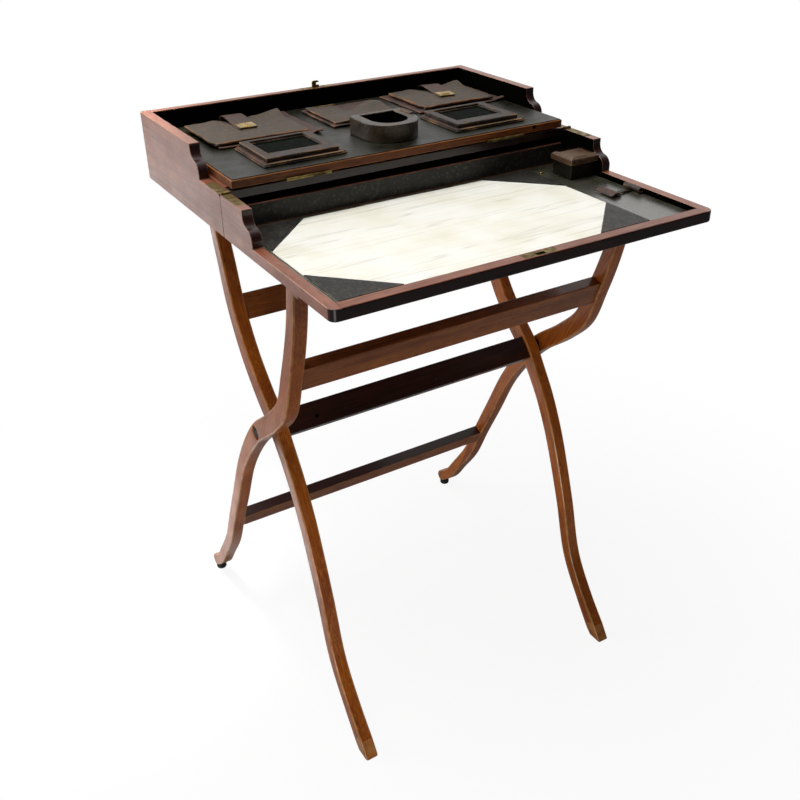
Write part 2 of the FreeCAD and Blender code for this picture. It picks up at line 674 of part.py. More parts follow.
def leaf_front_rail():
    rail = box(-INNER_X, INNER_X, -HALF_DEPTH, LEAF_INSIDE_Y, 0, THIN_HEIGHT)
    rail = round_edges(
        rail,
        EDGE_ROUND,
        lambda c: near(c.y, -HALF_DEPTH) and (near(c.z, 0) or near(c.z, THIN_HEIGHT)),
    )
    return rail.cut(lock_case_block()).cut(lock_plate_blank())


# ---------------------------------------------------------------- writing leaf

def leaf_panel():
    return box(-INNER_X, INNER_X, LEAF_INSIDE_Y, LEAF_BACK_Y, 0, LEAF_PANEL)


def writing_leather():
    return box(-INNER_X, INNER_X, LEAF_INSIDE_Y, LEAF_BACK_Y, LEAF_PANEL, WRITING_Z)


def blotter_bounds():
    x0 = -INNER_X + BLOTTER_LEFT_GAP
    x1 = INNER_X - BLOTTER_RIGHT_GAP
    return x0, x1, LEAF_INSIDE_Y + BLOTTER_FRONT_GAP, -BLOTTER_BACK_GAP


def blotter():
    return box(*blotter_bounds(), WRITING_Z, WRITING_Z + BLOTTER_THICKNESS)


def blotter_corners():
    """Leather triangles over the blotter's corners."""
    x0, x1, y0, y1 = blotter_bounds()
    z = WRITING_Z + BLOTTER_THICKNESS
    solids = []
    for x, to_x in ((x0, 1), (x1, -1)):
        for y, to_y in ((y0, 1), (y1, -1)):
            corner = FreeCAD.Vector(x, y, z)
            along_x = corner + FreeCAD.Vector(to_x * CORNER_LEG, 0, 0)
            along_y = corner + FreeCAD.Vector(0, to_y * CORNER_LEG, 0)
            face = Part.Face(Part.makePolygon([corner, along_x, along_y, corner]))
            solids.append(face.extrude(FreeCAD.Vector(0, 0, CORNER_THICKNESS)))
    return Part.makeCompound(solids)


def brass_stud():
    base = FreeCAD.Vector(INNER_X - STUD_FROM_WALL, -STUD_FROM_SEAM, WRITING_Z)
    return Part.makeCone(STUD_RADIUS, STUD_RADIUS / 2, STUD_HEIGHT, base)


def pen_roll():
    """Small leather tube for a pen, along the right wall."""
    z = WRITING_Z + PEN_ROLL_RADIUS
    y0 = -PEN_ROLL_FROM_SEAM - PEN_ROLL_LENGTH
    back = (0, 1, 0)
    tube = rod((PEN_ROLL_X, y0, z), back, PEN_ROLL_RADIUS, PEN_ROLL_LENGTH)
    return tube.cut(rod((PEN_ROLL_X, y0, z), back, PEN_ROLL_BORE, PEN_ROLL_LENGTH))


def pen_strap():
    """Flat leather patch whose end arches up beside the pen roll."""
    x2 = PEN_ROLL_X - PEN_ROLL_RADIUS - CONTACT_GAP
    x1 = x2 - PEN_STRAP_SPAN
    x0 = x1 - PEN_PATCH_WIDTH
    z0 = WRITING_Z
    z1 = z0 + PEN_STRAP_THICKNESS
    arch = PEN_STRAP_RISE
    middle = (x1 + x2) / 2
    t = PEN_STRAP_THICKNESS
    under = [(x1 + t, z0), (middle, z0 + arch - t), (x2 - t, z0)]
    over = [(x2, z0), (middle, z0 + arch), (x1, z1)]
    corners = [(x1, z1), (x0, z1), (x0, z0), (x1 + t, z0)]

    def at(point):
        return FreeCAD.Vector(point[0], -PEN_STRAP_FROM_SEAM, point[1])

    edges = [Part.Arc(*[at(p) for p in arc]).toShape() for arc in (under, over)]
    edges.append(Part.LineSegment(at(under[-1]), at(over[0])).toShape())
    edges += [Part.LineSegment(at(a), at(b)).toShape() for a, b in zip(corners, corners[1:])]
    face = Part.Face(Part.Wire(Part.__sortEdges__(edges)))
    return face.extrude(FreeCAD.Vector(0, -PEN_STRAP_DEPTH, 0))


# ---------------------------------------------------------------- inkwell

def lid_knuckles():
    """(start, length, on the lid) of the lid hinge's knuckles along X."""
    for i in range(LID_KNUCKLES):
        start = LID_HINGE_X0 + i * LID_KNUCKLE_LENGTH + KNUCKLE_GAP / 2
        yield start, LID_KNUCKLE_LENGTH - KNUCKLE_GAP, i % 2 == 1


def with_lid_knuckles(shape, on_lid, z0, z1, bore):
    for start, length, lids in lid_knuckles():
        if lids != on_lid:
            continue
        barrel = cross_rod(start, LID_AXIS_Y, LID_AXIS_Z, LID_BARREL_RADIUS, length)
        neck = box(start, start + length, INKWELL_Y1 - CONTACT_GAP, LID_AXIS_Y, z0, z1)
        shape = shape.fuse(barrel.fuse(neck))
    hole = cross_rod(INKWELL_X0, LID_AXIS_Y, LID_AXIS_Z, bore, INKWELL_WIDTH)
    return shape.cut(hole).removeSplitter()


def inkwell_cavity(gap):
    inset = INKWELL_WALL + gap
    x0, x1 = INKWELL_X0 + inset, INKWELL_X1 - inset
    y0, y1 = INKWELL_Y0 + inset, INKWELL_Y1 - inset
    floor = WRITING_Z + INKWELL_FLOOR
    return box(x0, x1, y0, y1, floor, WRITING_Z + INKWELL_HEIGHT - (BOTTLE_RIM_DROP if gap else 0))


def inkwell_body():
    top = WRITING_Z + INKWELL_HEIGHT
    body = box(INKWELL_X0, INKWELL_X1, INKWELL_Y0, INKWELL_Y1, WRITING_Z, top)
    body = body.cut(inkwell_cavity(0))
    return with_lid_knuckles(body, False, LID_AXIS_Z - LID_BARREL_RADIUS, top, LID_PIN_RADIUS + TIGHT_FIT)


def inkwell_lid():
    x0 = INKWELL_X0 - LID_OVERHANG
    x1 = INKWELL_X1 + INKWELL_SIDE_GAP - CONTACT_GAP
    y0 = INKWELL_Y0 - LID_OVERHANG
    lid = box(x0, x1, y0, INKWELL_Y1, LID_Z, LID_Z + LID_THICKNESS)
    lid = round_edges(lid, EDGE_ROUND, lambda c: near(c.z, LID_Z + LID_THICKNESS))
    return with_lid_knuckles(lid, True, LID_Z, LID_AXIS_Z + LID_BARREL_RADIUS, LID_PIN_RADIUS + RUNNING_FIT)


def inkwell_pin():
    length = LID_KNUCKLES * LID_KNUCKLE_LENGTH
    return cross_rod(LID_HINGE_X0, LID_AXIS_Y, LID_AXIS_Z, LID_PIN_RADIUS, length)


def ink_bottle():
    """Square glass bottle with a round well."""
    bottle = inkwell_cavity(CONTACT_GAP)
    x = (INKWELL_X0 + INKWELL_X1) / 2
    y = (INKWELL_Y0 + INKWELL_Y1) / 2
    floor = WRITING_Z + INKWELL_FLOOR + BOTTLE_FLOOR
    return bottle.cut(rod((x, y, floor), UP, BOTTLE_BORE, INKWELL_HEIGHT))


# ---------------------------------------------------------------- stationery board

def board_hinge_spans():
    yield -BOARD_HALF + BOARD_HINGE_END_GAP
    yield BOARD_HALF - BOARD_HINGE_END_GAP - BOARD_HINGE_LENGTH


def board_hinge_seat(x0):
    top = BOARD_UNDERSIDE + BOARD_HINGE_LEAF
    y1 = BOARD_FRONT_Y + BOARD_HINGE_REACH
    return box(x0, x0 + BOARD_HINGE_LENGTH, BOARD_FRONT_Y, y1, BOARD_UNDERSIDE, top)


def stationery_board():
    top = BOARD_UNDERSIDE + BOARD_THICKNESS
    board = box(-BOARD_HALF, BOARD_HALF, BOARD_FRONT_Y, BOARD_BACK_Y, BOARD_UNDERSIDE, top)
    barrel = BOARD_KNUCKLE_RADIUS + CONTACT_GAP
    for x0 in board_hinge_spans():
        board = board.cut(board_hinge_seat(x0))
        board = board.cut(cross_rod(x0, BOARD_AXIS_Y, BOARD_AXIS_Z, barrel, BOARD_HINGE_LENGTH))
    return board


def board_leather():
    top = BOARD_UNDERSIDE + BOARD_THICKNESS
    inset = EDGE_ROUND
    y0, y1 = BOARD_FRONT_Y + inset, BOARD_BACK_Y - inset
    return box(-BOARD_HALF + inset, BOARD_HALF - inset, y0, y1, top, top + BOARD_LEATHER)


def board_hinge(upper):
    """Hinge leaves of both board hinges; the lower ones hold the pins."""
    bore = BOARD_PIN_RADIUS + (RUNNING_FIT if upper else TIGHT_FIT)
    low = BOARD_UNDERSIDE if upper else HINGE_RAIL_TOP
    y1 = BOARD_FRONT_Y + BOARD_HINGE_REACH
    solids = []
    for x0 in board_hinge_spans():
        x1 = x0 + BOARD_HINGE_LENGTH
        plate = box(x0, x1, BOARD_FRONT_Y, y1, low, low + BOARD_HINGE_LEAF)
        for i, (start, length) in enumerate(knuckle_spans(BOARD_HINGE_LENGTH, KNUCKLES)):
            if (i % 2 == 1) != upper:
                continue
            left, right = x0 + start, x0 + start + length
            barrel = cross_rod(left, BOARD_AXIS_Y, BOARD_AXIS_Z, BOARD_KNUCKLE_RADIUS, length)
            neck = box(left, right, BOARD_AXIS_Y, BOARD_FRONT_Y, low, low + BOARD_HINGE_LEAF)
            plate = plate.fuse(barrel.fuse(neck))
        pin_room = cross_rod(x0, BOARD_AXIS_Y, BOARD_AXIS_Z, bore, BOARD_HINGE_LENGTH)
        solids.append(plate.cut(pin_room).removeSplitter())
        if not upper:
            pin = cross_rod(x0, BOARD_AXIS_Y, BOARD_AXIS_Z, BOARD_PIN_RADIUS, BOARD_HINGE_LENGTH)
            solids.append(pin)
    return Part.makeCompound(solids)


def slab(x, width, y0, y1, z0, thickness, corner):
    """Flat pad with rounded corners, centred on x."""
    pad = box(x - width / 2, x + width / 2, y0, y1, z0, z0 + thickness)
    return round_edges(pad, corner, lambda c: near(c.z, z0 + thickness / 2))


def pouch(x, front_gap, panel_shift, panel_width):
    """Pocket pad, its raised front panel and the foot that the closing strap springs from."""
    front = WINDOW_BACK_Y + front_gap
    base_top = BOARD_TOP + POUCH_THICKNESS
    pad = slab(x, POUCH_WIDTH, front, POUCH_BACK_Y, BOARD_TOP, POUCH_THICKNESS, POUCH_CORNER)
    panel_x = x + panel_shift
    panel_front = front + FRONT_PANEL_FRONT_GAP
    thickness = FRONT_PANEL_THICKNESS
    panel = slab(panel_x, panel_width, panel_front, PANEL_BACK_Y, base_top, thickness, POUCH_CORNER)
    half = STRAP_WIDTH / 2
    foot_front = STRAP_BACK_Y - STRAP_FOOT
    foot = box(panel_x - half, panel_x + half, foot_front, STRAP_BACK_Y, base_top, PANEL_TOP)
    return pad.fuse(panel).fuse(foot).removeSplitter()


def pouch_strap(x):
    half = STRAP_WIDTH / 2
    z0 = PANEL_TOP + CONTACT_GAP
    y0 = STRAP_BACK_Y - STRAP_LENGTH
    return box(x - half, x + half, y0, STRAP_BACK_Y, z0, z0 + STRAP_THICKNESS)


def pouch_clasp(x):
    half = CLASP_WIDTH / 2
    y1 = STRAP_BACK_Y - STRAP_LENGTH
    z0 = PANEL_TOP + CONTACT_GAP
    plate = box(x - half, x + half, y1 - CLASP_DEPTH, y1, z0, z0 + CLASP_THICKNESS)
    knob = rod((x, y1 - CLASP_DEPTH / 2, z0), UP, CLASP_KNOB_RADIUS, CLASP_THICKNESS + CLASP_KNOB_RISE)
    return plate.fuse(knob).removeSplitter()


def window_case(side):
    """Leather case with a raised frame round a sunk pane."""
    x = side * WINDOW_X
    y0 = WINDOW_FRONT_Y
    base = slab(x, WINDOW_BASE_WIDTH, y0, WINDOW_BACK_Y, BOARD_TOP, WINDOW_BASE, EDGE_ROUND)
    y0 += WINDOW_FRAME_INSET
    z0 = BOARD_TOP + WINDOW_BASE
    frame = slab(x, WINDOW_FRAME_WIDTH, y0, y0 + WINDOW_FRAME_DEPTH, z0, WINDOW_FRAME, EDGE_ROUND)
    return base.fuse(frame).cut(window_recess(side, 0, WINDOW_RECESS)).removeSplitter()


def window_recess(side, gap, height):
    """Sunk place of a window case's pane, smaller all round by the gap."""
    half = WINDOW_FRAME_WIDTH / 2 - WINDOW_BORDER - gap
    x = side * WINDOW_X
    y0 = WINDOW_FRONT_Y + WINDOW_FRAME_INSET
    y1 = y0 + WINDOW_FRAME_DEPTH - WINDOW_BACK_BORDER - gap
    z0 = BOARD_TOP + WINDOW_BASE + WINDOW_FRAME - WINDOW_RECESS
    return box(x - half, x + half, y0 + WINDOW_FRONT_BORDER + gap, y1, z0, z0 + height)


def window_panes():
    return Part.makeCompound([window_recess(side, CONTACT_GAP, WINDOW_GLASS) for side in SIDES])


def centre_pouch():
    y0, y1 = CENTRE_POUCH_FRONT_Y, CENTRE_POUCH_BACK_Y
    middle = (CENTRE_POUCH_X0 + CENTRE_POUCH_X1) / 2
    width = CENTRE_POUCH_X1 - CENTRE_POUCH_X0
    return slab(middle, width, y0, y1, BOARD_TOP, CENTRE_POUCH_THICKNESS, POUCH_CORNER)


def centre_flap():
    """Curled leather flap: an arched strip lying on the centre pouch."""
    z = BOARD_TOP + CENTRE_POUCH_THICKNESS
    t = CENTRE_FLAP_THICKNESS
    y0 = CENTRE_POUCH_FRONT_Y + t
    y2 = y0 + CENTRE_FLAP_DEPTH
    y1 = (y0 + y2) / 2
    crest = z + CENTRE_FLAP_RISE
    over = [(y0, z), (y1, crest), (y2, z)]
    under = [(y0 + t, z), (y1, crest - t), (y2 - t, z)]
    edges = [Part.Arc(*[FreeCAD.Vector(0, *p) for p in arc]).toShape() for arc in (over, under)]
    edges += [line(over[0], under[0]), line(over[-1], under[-1])]
    return across(side_face(edges), CENTRE_POUCH_X0 + POUCH_CORNER, CENTRE_POUCH_X1 - POUCH_CORNER)


def centre_bar():
    x0 = CENTRE_POUCH_X0 + BAR_INSET
    y1 = CENTRE_POUCH_BACK_Y - BAR_INSET
    z0 = BOARD_TOP + CENTRE_POUCH_THICKNESS
    return box(x0, x0 + BAR_LENGTH, y1 - BAR_WIDTH, y1, z0, z0 + BAR_THICKNESS)


def d_prism(x, y, radius, back, z0, height):
    """Upright D: half round to the front about (x, y), flat at the back."""
    disc = rod((x, y, z0), UP, radius, height)
    front = disc.common(box(x - radius, x + radius, y - radius, y, z0, z0 + height))
    tail = box(x - radius, x + radius, y, back, z0, z0 + height)
    return front.fuse(tail).removeSplitter()


def holder_ring():
    body = d_prism(RING_X, RING_Y, RING_RADIUS, RING_BACK_Y, BOARD_TOP, RING_HEIGHT)
    bore_x = RING_X + RING_BORE_SHIFT
    bore_y = RING_Y + RING_BORE_SET_BACK
    return body.cut(d_prism(bore_x, bore_y, RING_BORE, RING_BACK_Y - RING_BACK_WALL, BOARD_TOP, RING_HEIGHT))


def holder_loop():
    x0 = RING_X + RING_RADIUS + CONTACT_GAP
    y1 = RING_BACK_Y - LOOP_BACK_GAP
    top = BOARD_TOP + LOOP_HEIGHT
    loop = box(x0, x0 + LOOP_THICKNESS, y1 - LOOP_DEPTH, y1, BOARD_TOP, top)
    ends = (y1 - LOOP_DEPTH, y1)
    return round_edges(
        loop,
        LOOP_THICKNESS,
        lambda c: near(c.z, top) and any(near(c.y, end) for end in ends),
    )


# ---------------------------------------------------------------- stand

def between(a, b, share):
    """Point at a share of the way across and down from a to b, in (y, z)."""
    return a[0] + share[0] * (b[0] - a[0]), a[1] + share[1] * (b[1] - a[1])


def stations(top, foot, upper, lower, top_width):
    """Middle line of a leg as (y, z, width), from its top through the pivot towards its foot."""
    points = [(*top, top_width)]
    points += [(*between(top, PIVOT, (u, v)), width) for u, v, width in upper]
    points.append((*PIVOT, PIVOT_LEG_WIDTH))
    points += [(*between(PIVOT, foot, (u, v)), width) for u, v, width in lower]
    return points


def outer_stations():
    return stations(OUTER_TOP, TOE, OUTER_UPPER, OUTER_LOWER, TOP_LEG_WIDTH) + [(*TOE, 2 * TOE_RADIUS)]


def inner_stations():
    return stations(TOP_PIVOT, INNER_FOOT, INNER_UPPER, INNER_LOWER, 2 * TOP_ROUND)


def leg_face(points):
    """Side view of a leg, drawn by its middle line and widths, square across both ends."""
    curve = Part.BSplineCurve()
    curve.interpolate([FreeCAD.Vector(0, y, z) for y, z, w in points])
    sides = ([], [])
    for y, z, width in points:
        at = FreeCAD.Vector(0, y, z)
        along = curve.tangent(curve.parameter(at))[0]
        normal = FreeCAD.Vector(0, -along.z, along.y)
        sides[0].append(at + normal * (width / 2))
        sides[1].append(at - normal * (width / 2))
    edges = []
    for side in sides:
        edge = Part.BSplineCurve()
        edge.interpolate(side)
        edges.append(edge.toShape())
    edges.append(Part.LineSegment(sides[0][0], sides[1][0]).toShape())
    edges.append(Part.LineSegment(sides[0][-1], sides[1][-1]).toShape())
    return Part.Face(Part.Wire(Part.__sortEdges__(edges)))


def end_disc(centre, radius):
    circle = Part.makeCircle(radius, FreeCAD.Vector(0, *centre), FreeCAD.Vector(1, 0, 0))
    return Part.Face(Part.Wire([circle]))


def bolt_holes(leg, centre, x_face, radius, recessed):
    leg = leg.cut(cross_rod(0, *centre, radius, HALF_WIDTH))
    if recessed:
        recess_radius = PIVOT_HEAD_RADIUS + RECESS_CLEARANCE
        leg = leg.cut(cross_rod(x_face - PIVOT_RECESS, *centre, recess_radius, PIVOT_RECESS))
    return leg


def outer_leg():
    toe = across(end_disc(TOE, TOE_RADIUS), OUTER_LEG_X, OUTER_LEG_FACE)
    leg = across(leg_face(outer_stations()), OUTER_LEG_X, OUTER_LEG_FACE).fuse(toe)
    above = box(OUTER_LEG_X, OUTER_LEG_FACE, -HALF_DEPTH, 0, -CONTACT_GAP, LOW_HEIGHT)
    leg = leg.cut(above)
    leg = bolt_holes(leg, PIVOT, OUTER_LEG_FACE, PIVOT_RADIUS + RUNNING_FIT, True)
    return leg.cut(glide())


def glide():
    """Black glide let into the bottom of a back foot."""
    x = (OUTER_LEG_X + OUTER_LEG_FACE) / 2
    height = TOE_RISE - TOE_RADIUS + GLIDE_SEAT
    return rod((x, OUTER_FOOT_Y - GLIDE_SEAT, -STAND_HEIGHT), UP, GLIDE_RADIUS, height)


def inner_leg():
    top = across(end_disc(TOP_PIVOT, TOP_ROUND), INNER_LEG_X, INNER_LEG_FACE)
    leg = across(leg_face(inner_stations()), INNER_LEG_X, INNER_LEG_FACE).fuse(top)
    under = box(INNER_LEG_X, INNER_LEG_FACE, -HALF_DEPTH, 0, -2 * STAND_HEIGHT, -STAND_HEIGHT)
    leg = leg.cut(under)
    leg = bolt_holes(leg, PIVOT, INNER_LEG_FACE, PIVOT_RADIUS + TIGHT_FIT, False)
    return bolt_holes(leg, TOP_PIVOT, INNER_LEG_FACE, PIVOT_RADIUS + RUNNING_FIT, True)


def rail(x_face, centre, thickness, height, lean):
    """Cross rail between two legs; lean is its turn from upright in degrees, top to the back."""
    y, z = centre
    bar = box(-x_face, x_face, y - thickness / 2, y + thickness / 2, z - height / 2, z + height / 2)
    bar = round_edges(bar, RAIL_ROUND, lambda c: near(c.x, 0))
    return turned(bar, y, z, -lean)


def lean_between(a, b):
    """Turn from upright of the line from b up to a, positive where it leans to the back."""
    return math.degrees(math.atan2(a[0] - b[0], a[1] - b[1]))


def outer_upper_rail():
    at = between(OUTER_TOP, PIVOT, UPPER_RAIL_AT)
    return rail(OUTER_LEG_X, at, UPPER_RAIL_THICKNESS, UPPER_RAIL_HEIGHT, UPPER_RAIL_LEAN_DEGREES)


def outer_lower_rail():
    at = between(PIVOT, TOE, LOWER_RAIL_AT)
    return rail(OUTER_LEG_X, at, LOWER_RAIL_THICKNESS, LOWER_RAIL_HEIGHT, 0)


def inner_top_rail():
    at = between(TOP_PIVOT, PIVOT, TOP_RAIL_AT)
    return rail(INNER_LEG_X, at, UPPER_RAIL_THICKNESS, TOP_RAIL_HEIGHT, TOP_RAIL_LEAN_DEGREES)


def inner_middle_rail():
    points = inner_stations()
    pivot = len(INNER_UPPER) + 1
    lean = lean_between(points[pivot - 1], points[pivot + 1])
    bar = rail(INNER_LEG_X, PIVOT, MIDDLE_RAIL_THICKNESS, MIDDLE_RAIL_HEIGHT, lean)
    hole = cross_rod(INNER_LEG_X - PIVOT_GRIP, *PIVOT, PIVOT_RADIUS + TIGHT_FIT, PIVOT_GRIP)
    return bar.cut(hole).cut(mirrored(hole))


def bolt(centre, x_face):
    """Pivot bolt from the wood behind the inner leg to its head in the recess of a leg's face."""
    x0 = INNER_LEG_X - PIVOT_GRIP
    head_x = x_face - PIVOT_RECESS + CONTACT_GAP
    shank = cross_rod(x0, *centre, PIVOT_RADIUS, head_x - x0)
    head = cross_rod(head_x, *centre, PIVOT_HEAD_RADIUS, PIVOT_HEAD_THICKNESS)
    return shank.fuse(head).removeSplitter()


def washer():
    ring = cross_rod(INNER_LEG_FACE, *PIVOT, WASHER_RADIUS, LEG_GAP - CONTACT_GAP)
    return ring.cut(cross_rod(INNER_LEG_FACE, *PIVOT, PIVOT_RADIUS + TIGHT_FIT, LEG_GAP))


def pivot_block():
    x1 = INNER_LEG_X - CONTACT_GAP
    y0, y1 = INNER_TOP_Y - BLOCK_DEPTH / 2, INNER_TOP_Y + BLOCK_DEPTH / 2
    block = box(x1 - BLOCK_WIDTH, x1, y0, y1, -BLOCK_DROP, 0)
    block = round_edges(
        block,
        BLOCK_ROUND,
        lambda c: near(c.z, -BLOCK_DROP) and (near(c.y, y0) or near(c.y, y1)),
    )
    hole = cross_rod(INNER_LEG_X - PIVOT_GRIP, *TOP_PIVOT, PIVOT_RADIUS + TIGHT_FIT, PIVOT_GRIP)
    return block.cut(hole)


def stop_cleat():
    """Cleat under the leaf in front of an outer leg's top."""
    middle = (OUTER_LEG_X + OUTER_LEG_FACE) / 2
    half = CLEAT_WIDTH / 2
    y1 = OUTER_TOP_Y - TOP_LEG_WIDTH / 2 - 2 * CONTACT_GAP
    return box(middle - half, middle + half, y1 - CLEAT_DEPTH, y1, -CLEAT_HEIGHT, 0)


# ---------------------------------------------------------------- sub-parts

def nodes():
    yield "case_left_wall", mirrored(case_wall())
    yield "case_right_wall", case_wall()
    yield "case_back_wall", back_wall()
    yield "case_bottom", case_bottom()
    yield "case_front_rail", case_front_rail()
    yield "case_front_facing", front_facing()
    yield "board_hinge_rail", board_hinge_rail()
    yield "board_rests", board_rests()
    yield "case_lining", case_lining()
    yield "lock_catch", lock_catch()
    yield "case_hinge_leaves", hinge_group(1, 0, True)
    yield "stand_pivot_blocks", pair(pivot_block())
    yield "top_pivot_bolts", pair(bolt(TOP_PIVOT, INNER_LEG_FACE))
    yield "board_hinge_lower", board_hinge(False)

    yield "leaf_panel", leaf_panel()
    yield "leaf_left_wall", mirrored(leaf_wall())
    yield "leaf_right_wall", leaf_wall()
    yield "leaf_front_rail", leaf_front_rail()
    yield "leaf_hinge_leaves", hinge_group(-1, 1, False)
    yield "writing_leather", writing_leather()
    yield "blotter", blotter()
    yield "blotter_corners", blotter_corners()
    yield "pen_strap", pen_strap()
    yield "pen_roll", pen_roll()
    yield "brass_stud", brass_stud()
    yield "lock_plate", lock_plate()
    yield "lock_case", lock_case()
    yield "lock_bolt", lock_bolt()
    yield "leaf_stop_cleats", pair(stop_cleat())
    yield "inkwell_body", inkwell_body()
    yield "ink_bottle", ink_bottle()
    yield "inkwell_pin", inkwell_pin()
    yield "inkwell_lid", inkwell_lid()

    yield "stationery_board", stationery_board()
    yield "board_leather", board_leather()
    yield "board_hinge_upper", board_hinge(True)
    pouches = (
        ("left", LEFT_POUCH_X, LEFT_POUCH_FRONT_GAP, LEFT_PANEL_SHIFT, LEFT_PANEL_WIDTH),
        ("right", RIGHT_POUCH_X, RIGHT_POUCH_FRONT_GAP, RIGHT_PANEL_SHIFT, RIGHT_PANEL_WIDTH),
    )
    for side, x, front_gap, panel_shift, panel_width in pouches:
        yield side + "_pouch", pouch(x, front_gap, panel_shift, panel_width)
        yield side + "_pouch_strap", pouch_strap(x + panel_shift)
        yield side + "_pouch_clasp", pouch_clasp(x + panel_shift)
    yield "left_window_case", window_case(-1)
    yield "right_window_case", window_case(1)
    yield "window_panes", window_panes()
    yield "centre_pouch", centre_pouch()
    yield "centre_flap", centre_flap()
    yield "centre_bar", centre_bar()
    yield "holder_ring", holder_ring()
    yield "holder_loop", holder_loop()

    yield "outer_leg_left", mirrored(outer_leg())
    yield "outer_leg_right", outer_leg()
    yield "outer_upper_rail", outer_upper_rail()
    yield "outer_lower_rail", outer_lower_rail()
    yield "foot_glides", pair(glide())
    yield "inner_leg_left", mirrored(inner_leg())
    yield "inner_leg_right", inner_leg()
    yield "inner_top_rail", inner_top_rail()
    yield "inner_middle_rail", inner_middle_rail()
    yield "pivot_bolts", Part.makeCompound([pair(bolt(PIVOT, OUTER_LEG_FACE)), pair(washer())])


os.makedirs("parts", exist_ok=True)
for node_name, node_shape in nodes():
    export(node_name, node_shape)
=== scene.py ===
# Looks of the campaign desk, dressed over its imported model.
import math
import bpy
from mathutils import Matrix, Vector


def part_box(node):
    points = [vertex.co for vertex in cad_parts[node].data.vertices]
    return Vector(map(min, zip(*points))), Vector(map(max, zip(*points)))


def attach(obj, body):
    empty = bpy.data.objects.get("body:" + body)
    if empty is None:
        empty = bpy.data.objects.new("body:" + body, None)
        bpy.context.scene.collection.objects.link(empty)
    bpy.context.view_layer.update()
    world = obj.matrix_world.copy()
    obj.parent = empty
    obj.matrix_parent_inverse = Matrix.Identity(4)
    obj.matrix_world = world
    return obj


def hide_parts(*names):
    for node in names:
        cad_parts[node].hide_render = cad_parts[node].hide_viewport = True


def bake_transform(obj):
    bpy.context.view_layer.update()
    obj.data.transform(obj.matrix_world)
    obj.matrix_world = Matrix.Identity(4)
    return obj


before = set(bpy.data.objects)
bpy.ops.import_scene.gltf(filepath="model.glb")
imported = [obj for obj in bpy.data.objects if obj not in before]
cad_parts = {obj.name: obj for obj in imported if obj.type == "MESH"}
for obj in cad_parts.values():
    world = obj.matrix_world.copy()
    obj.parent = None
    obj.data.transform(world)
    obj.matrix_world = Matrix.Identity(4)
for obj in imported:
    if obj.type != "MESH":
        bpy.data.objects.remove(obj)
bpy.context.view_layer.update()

# Pieces are shaped in millimetres: one metre, in them.
METRE = 1000


# ------------------------ colour and nodes
def linear(code):
    """Linear colour of an sRGB hex value."""
    parts = [int(code[i:i + 2], 16) / 255 for i in (1, 3, 5)]
    return [c / 12.92 if c <= 0.04045 else ((c + 0.055) / 1.055) ** 2.4 for c in parts] + [1.0]


def node(tree, kind, inputs=(), **settings):
    """Adds a shader node, sets it, and sets or links its inputs."""
    made = tree.nodes.new("ShaderNode" + kind)
    for name, value in settings.items():
        setattr(made, name, value)
    for socket, value in dict(inputs).items():
        if isinstance(value, bpy.types.NodeSocket):
            tree.links.new(value, made.inputs[socket])
        else:
            made.inputs[socket].default_value = value
    return made


def new_material(name, shader):
    """An empty material with its surface shader, which has the given fixed values."""
    material = bpy.data.materials.new(name)
    material.use_nodes = True
    tree = material.node_tree
    tree.nodes.clear()
    surface = node(tree, "BsdfPrincipled", shader)
    node(tree, "OutputMaterial", {"Surface": surface.outputs[0]})
    return material, tree, surface


# Map Range takes its value at 0, spans 1 to 2 and gives 3 to 4, or 0 to 1 where they aren't set.
# Math, Vector Math and Mix Shader take their terms in order from 0. A pattern's scale is METRE
# over the size in millimetres of what it draws. These are Mix's inputs and its result:
FACTOR, FIRST, SECOND, MIXED = 0, 6, 7, 2


def layered(tree, ground, *layers):
    """The colour of a ground with tones laid over it, each where its own factor says."""
    colour = linear(ground)
    for factor, tone in layers:
        colour = node(tree, "Mix", {
            FACTOR: factor.outputs[0], FIRST: colour, SECOND: linear(tone)},
            data_type="RGBA").outputs[MIXED]
    return colour


def drive(tree, surface, **sources):
    """Links what a surface's Base Color, Roughness and Normal come from."""
    for name, source in sources.items():
        tree.links.new(source, surface.inputs[name.replace("_", " ")])


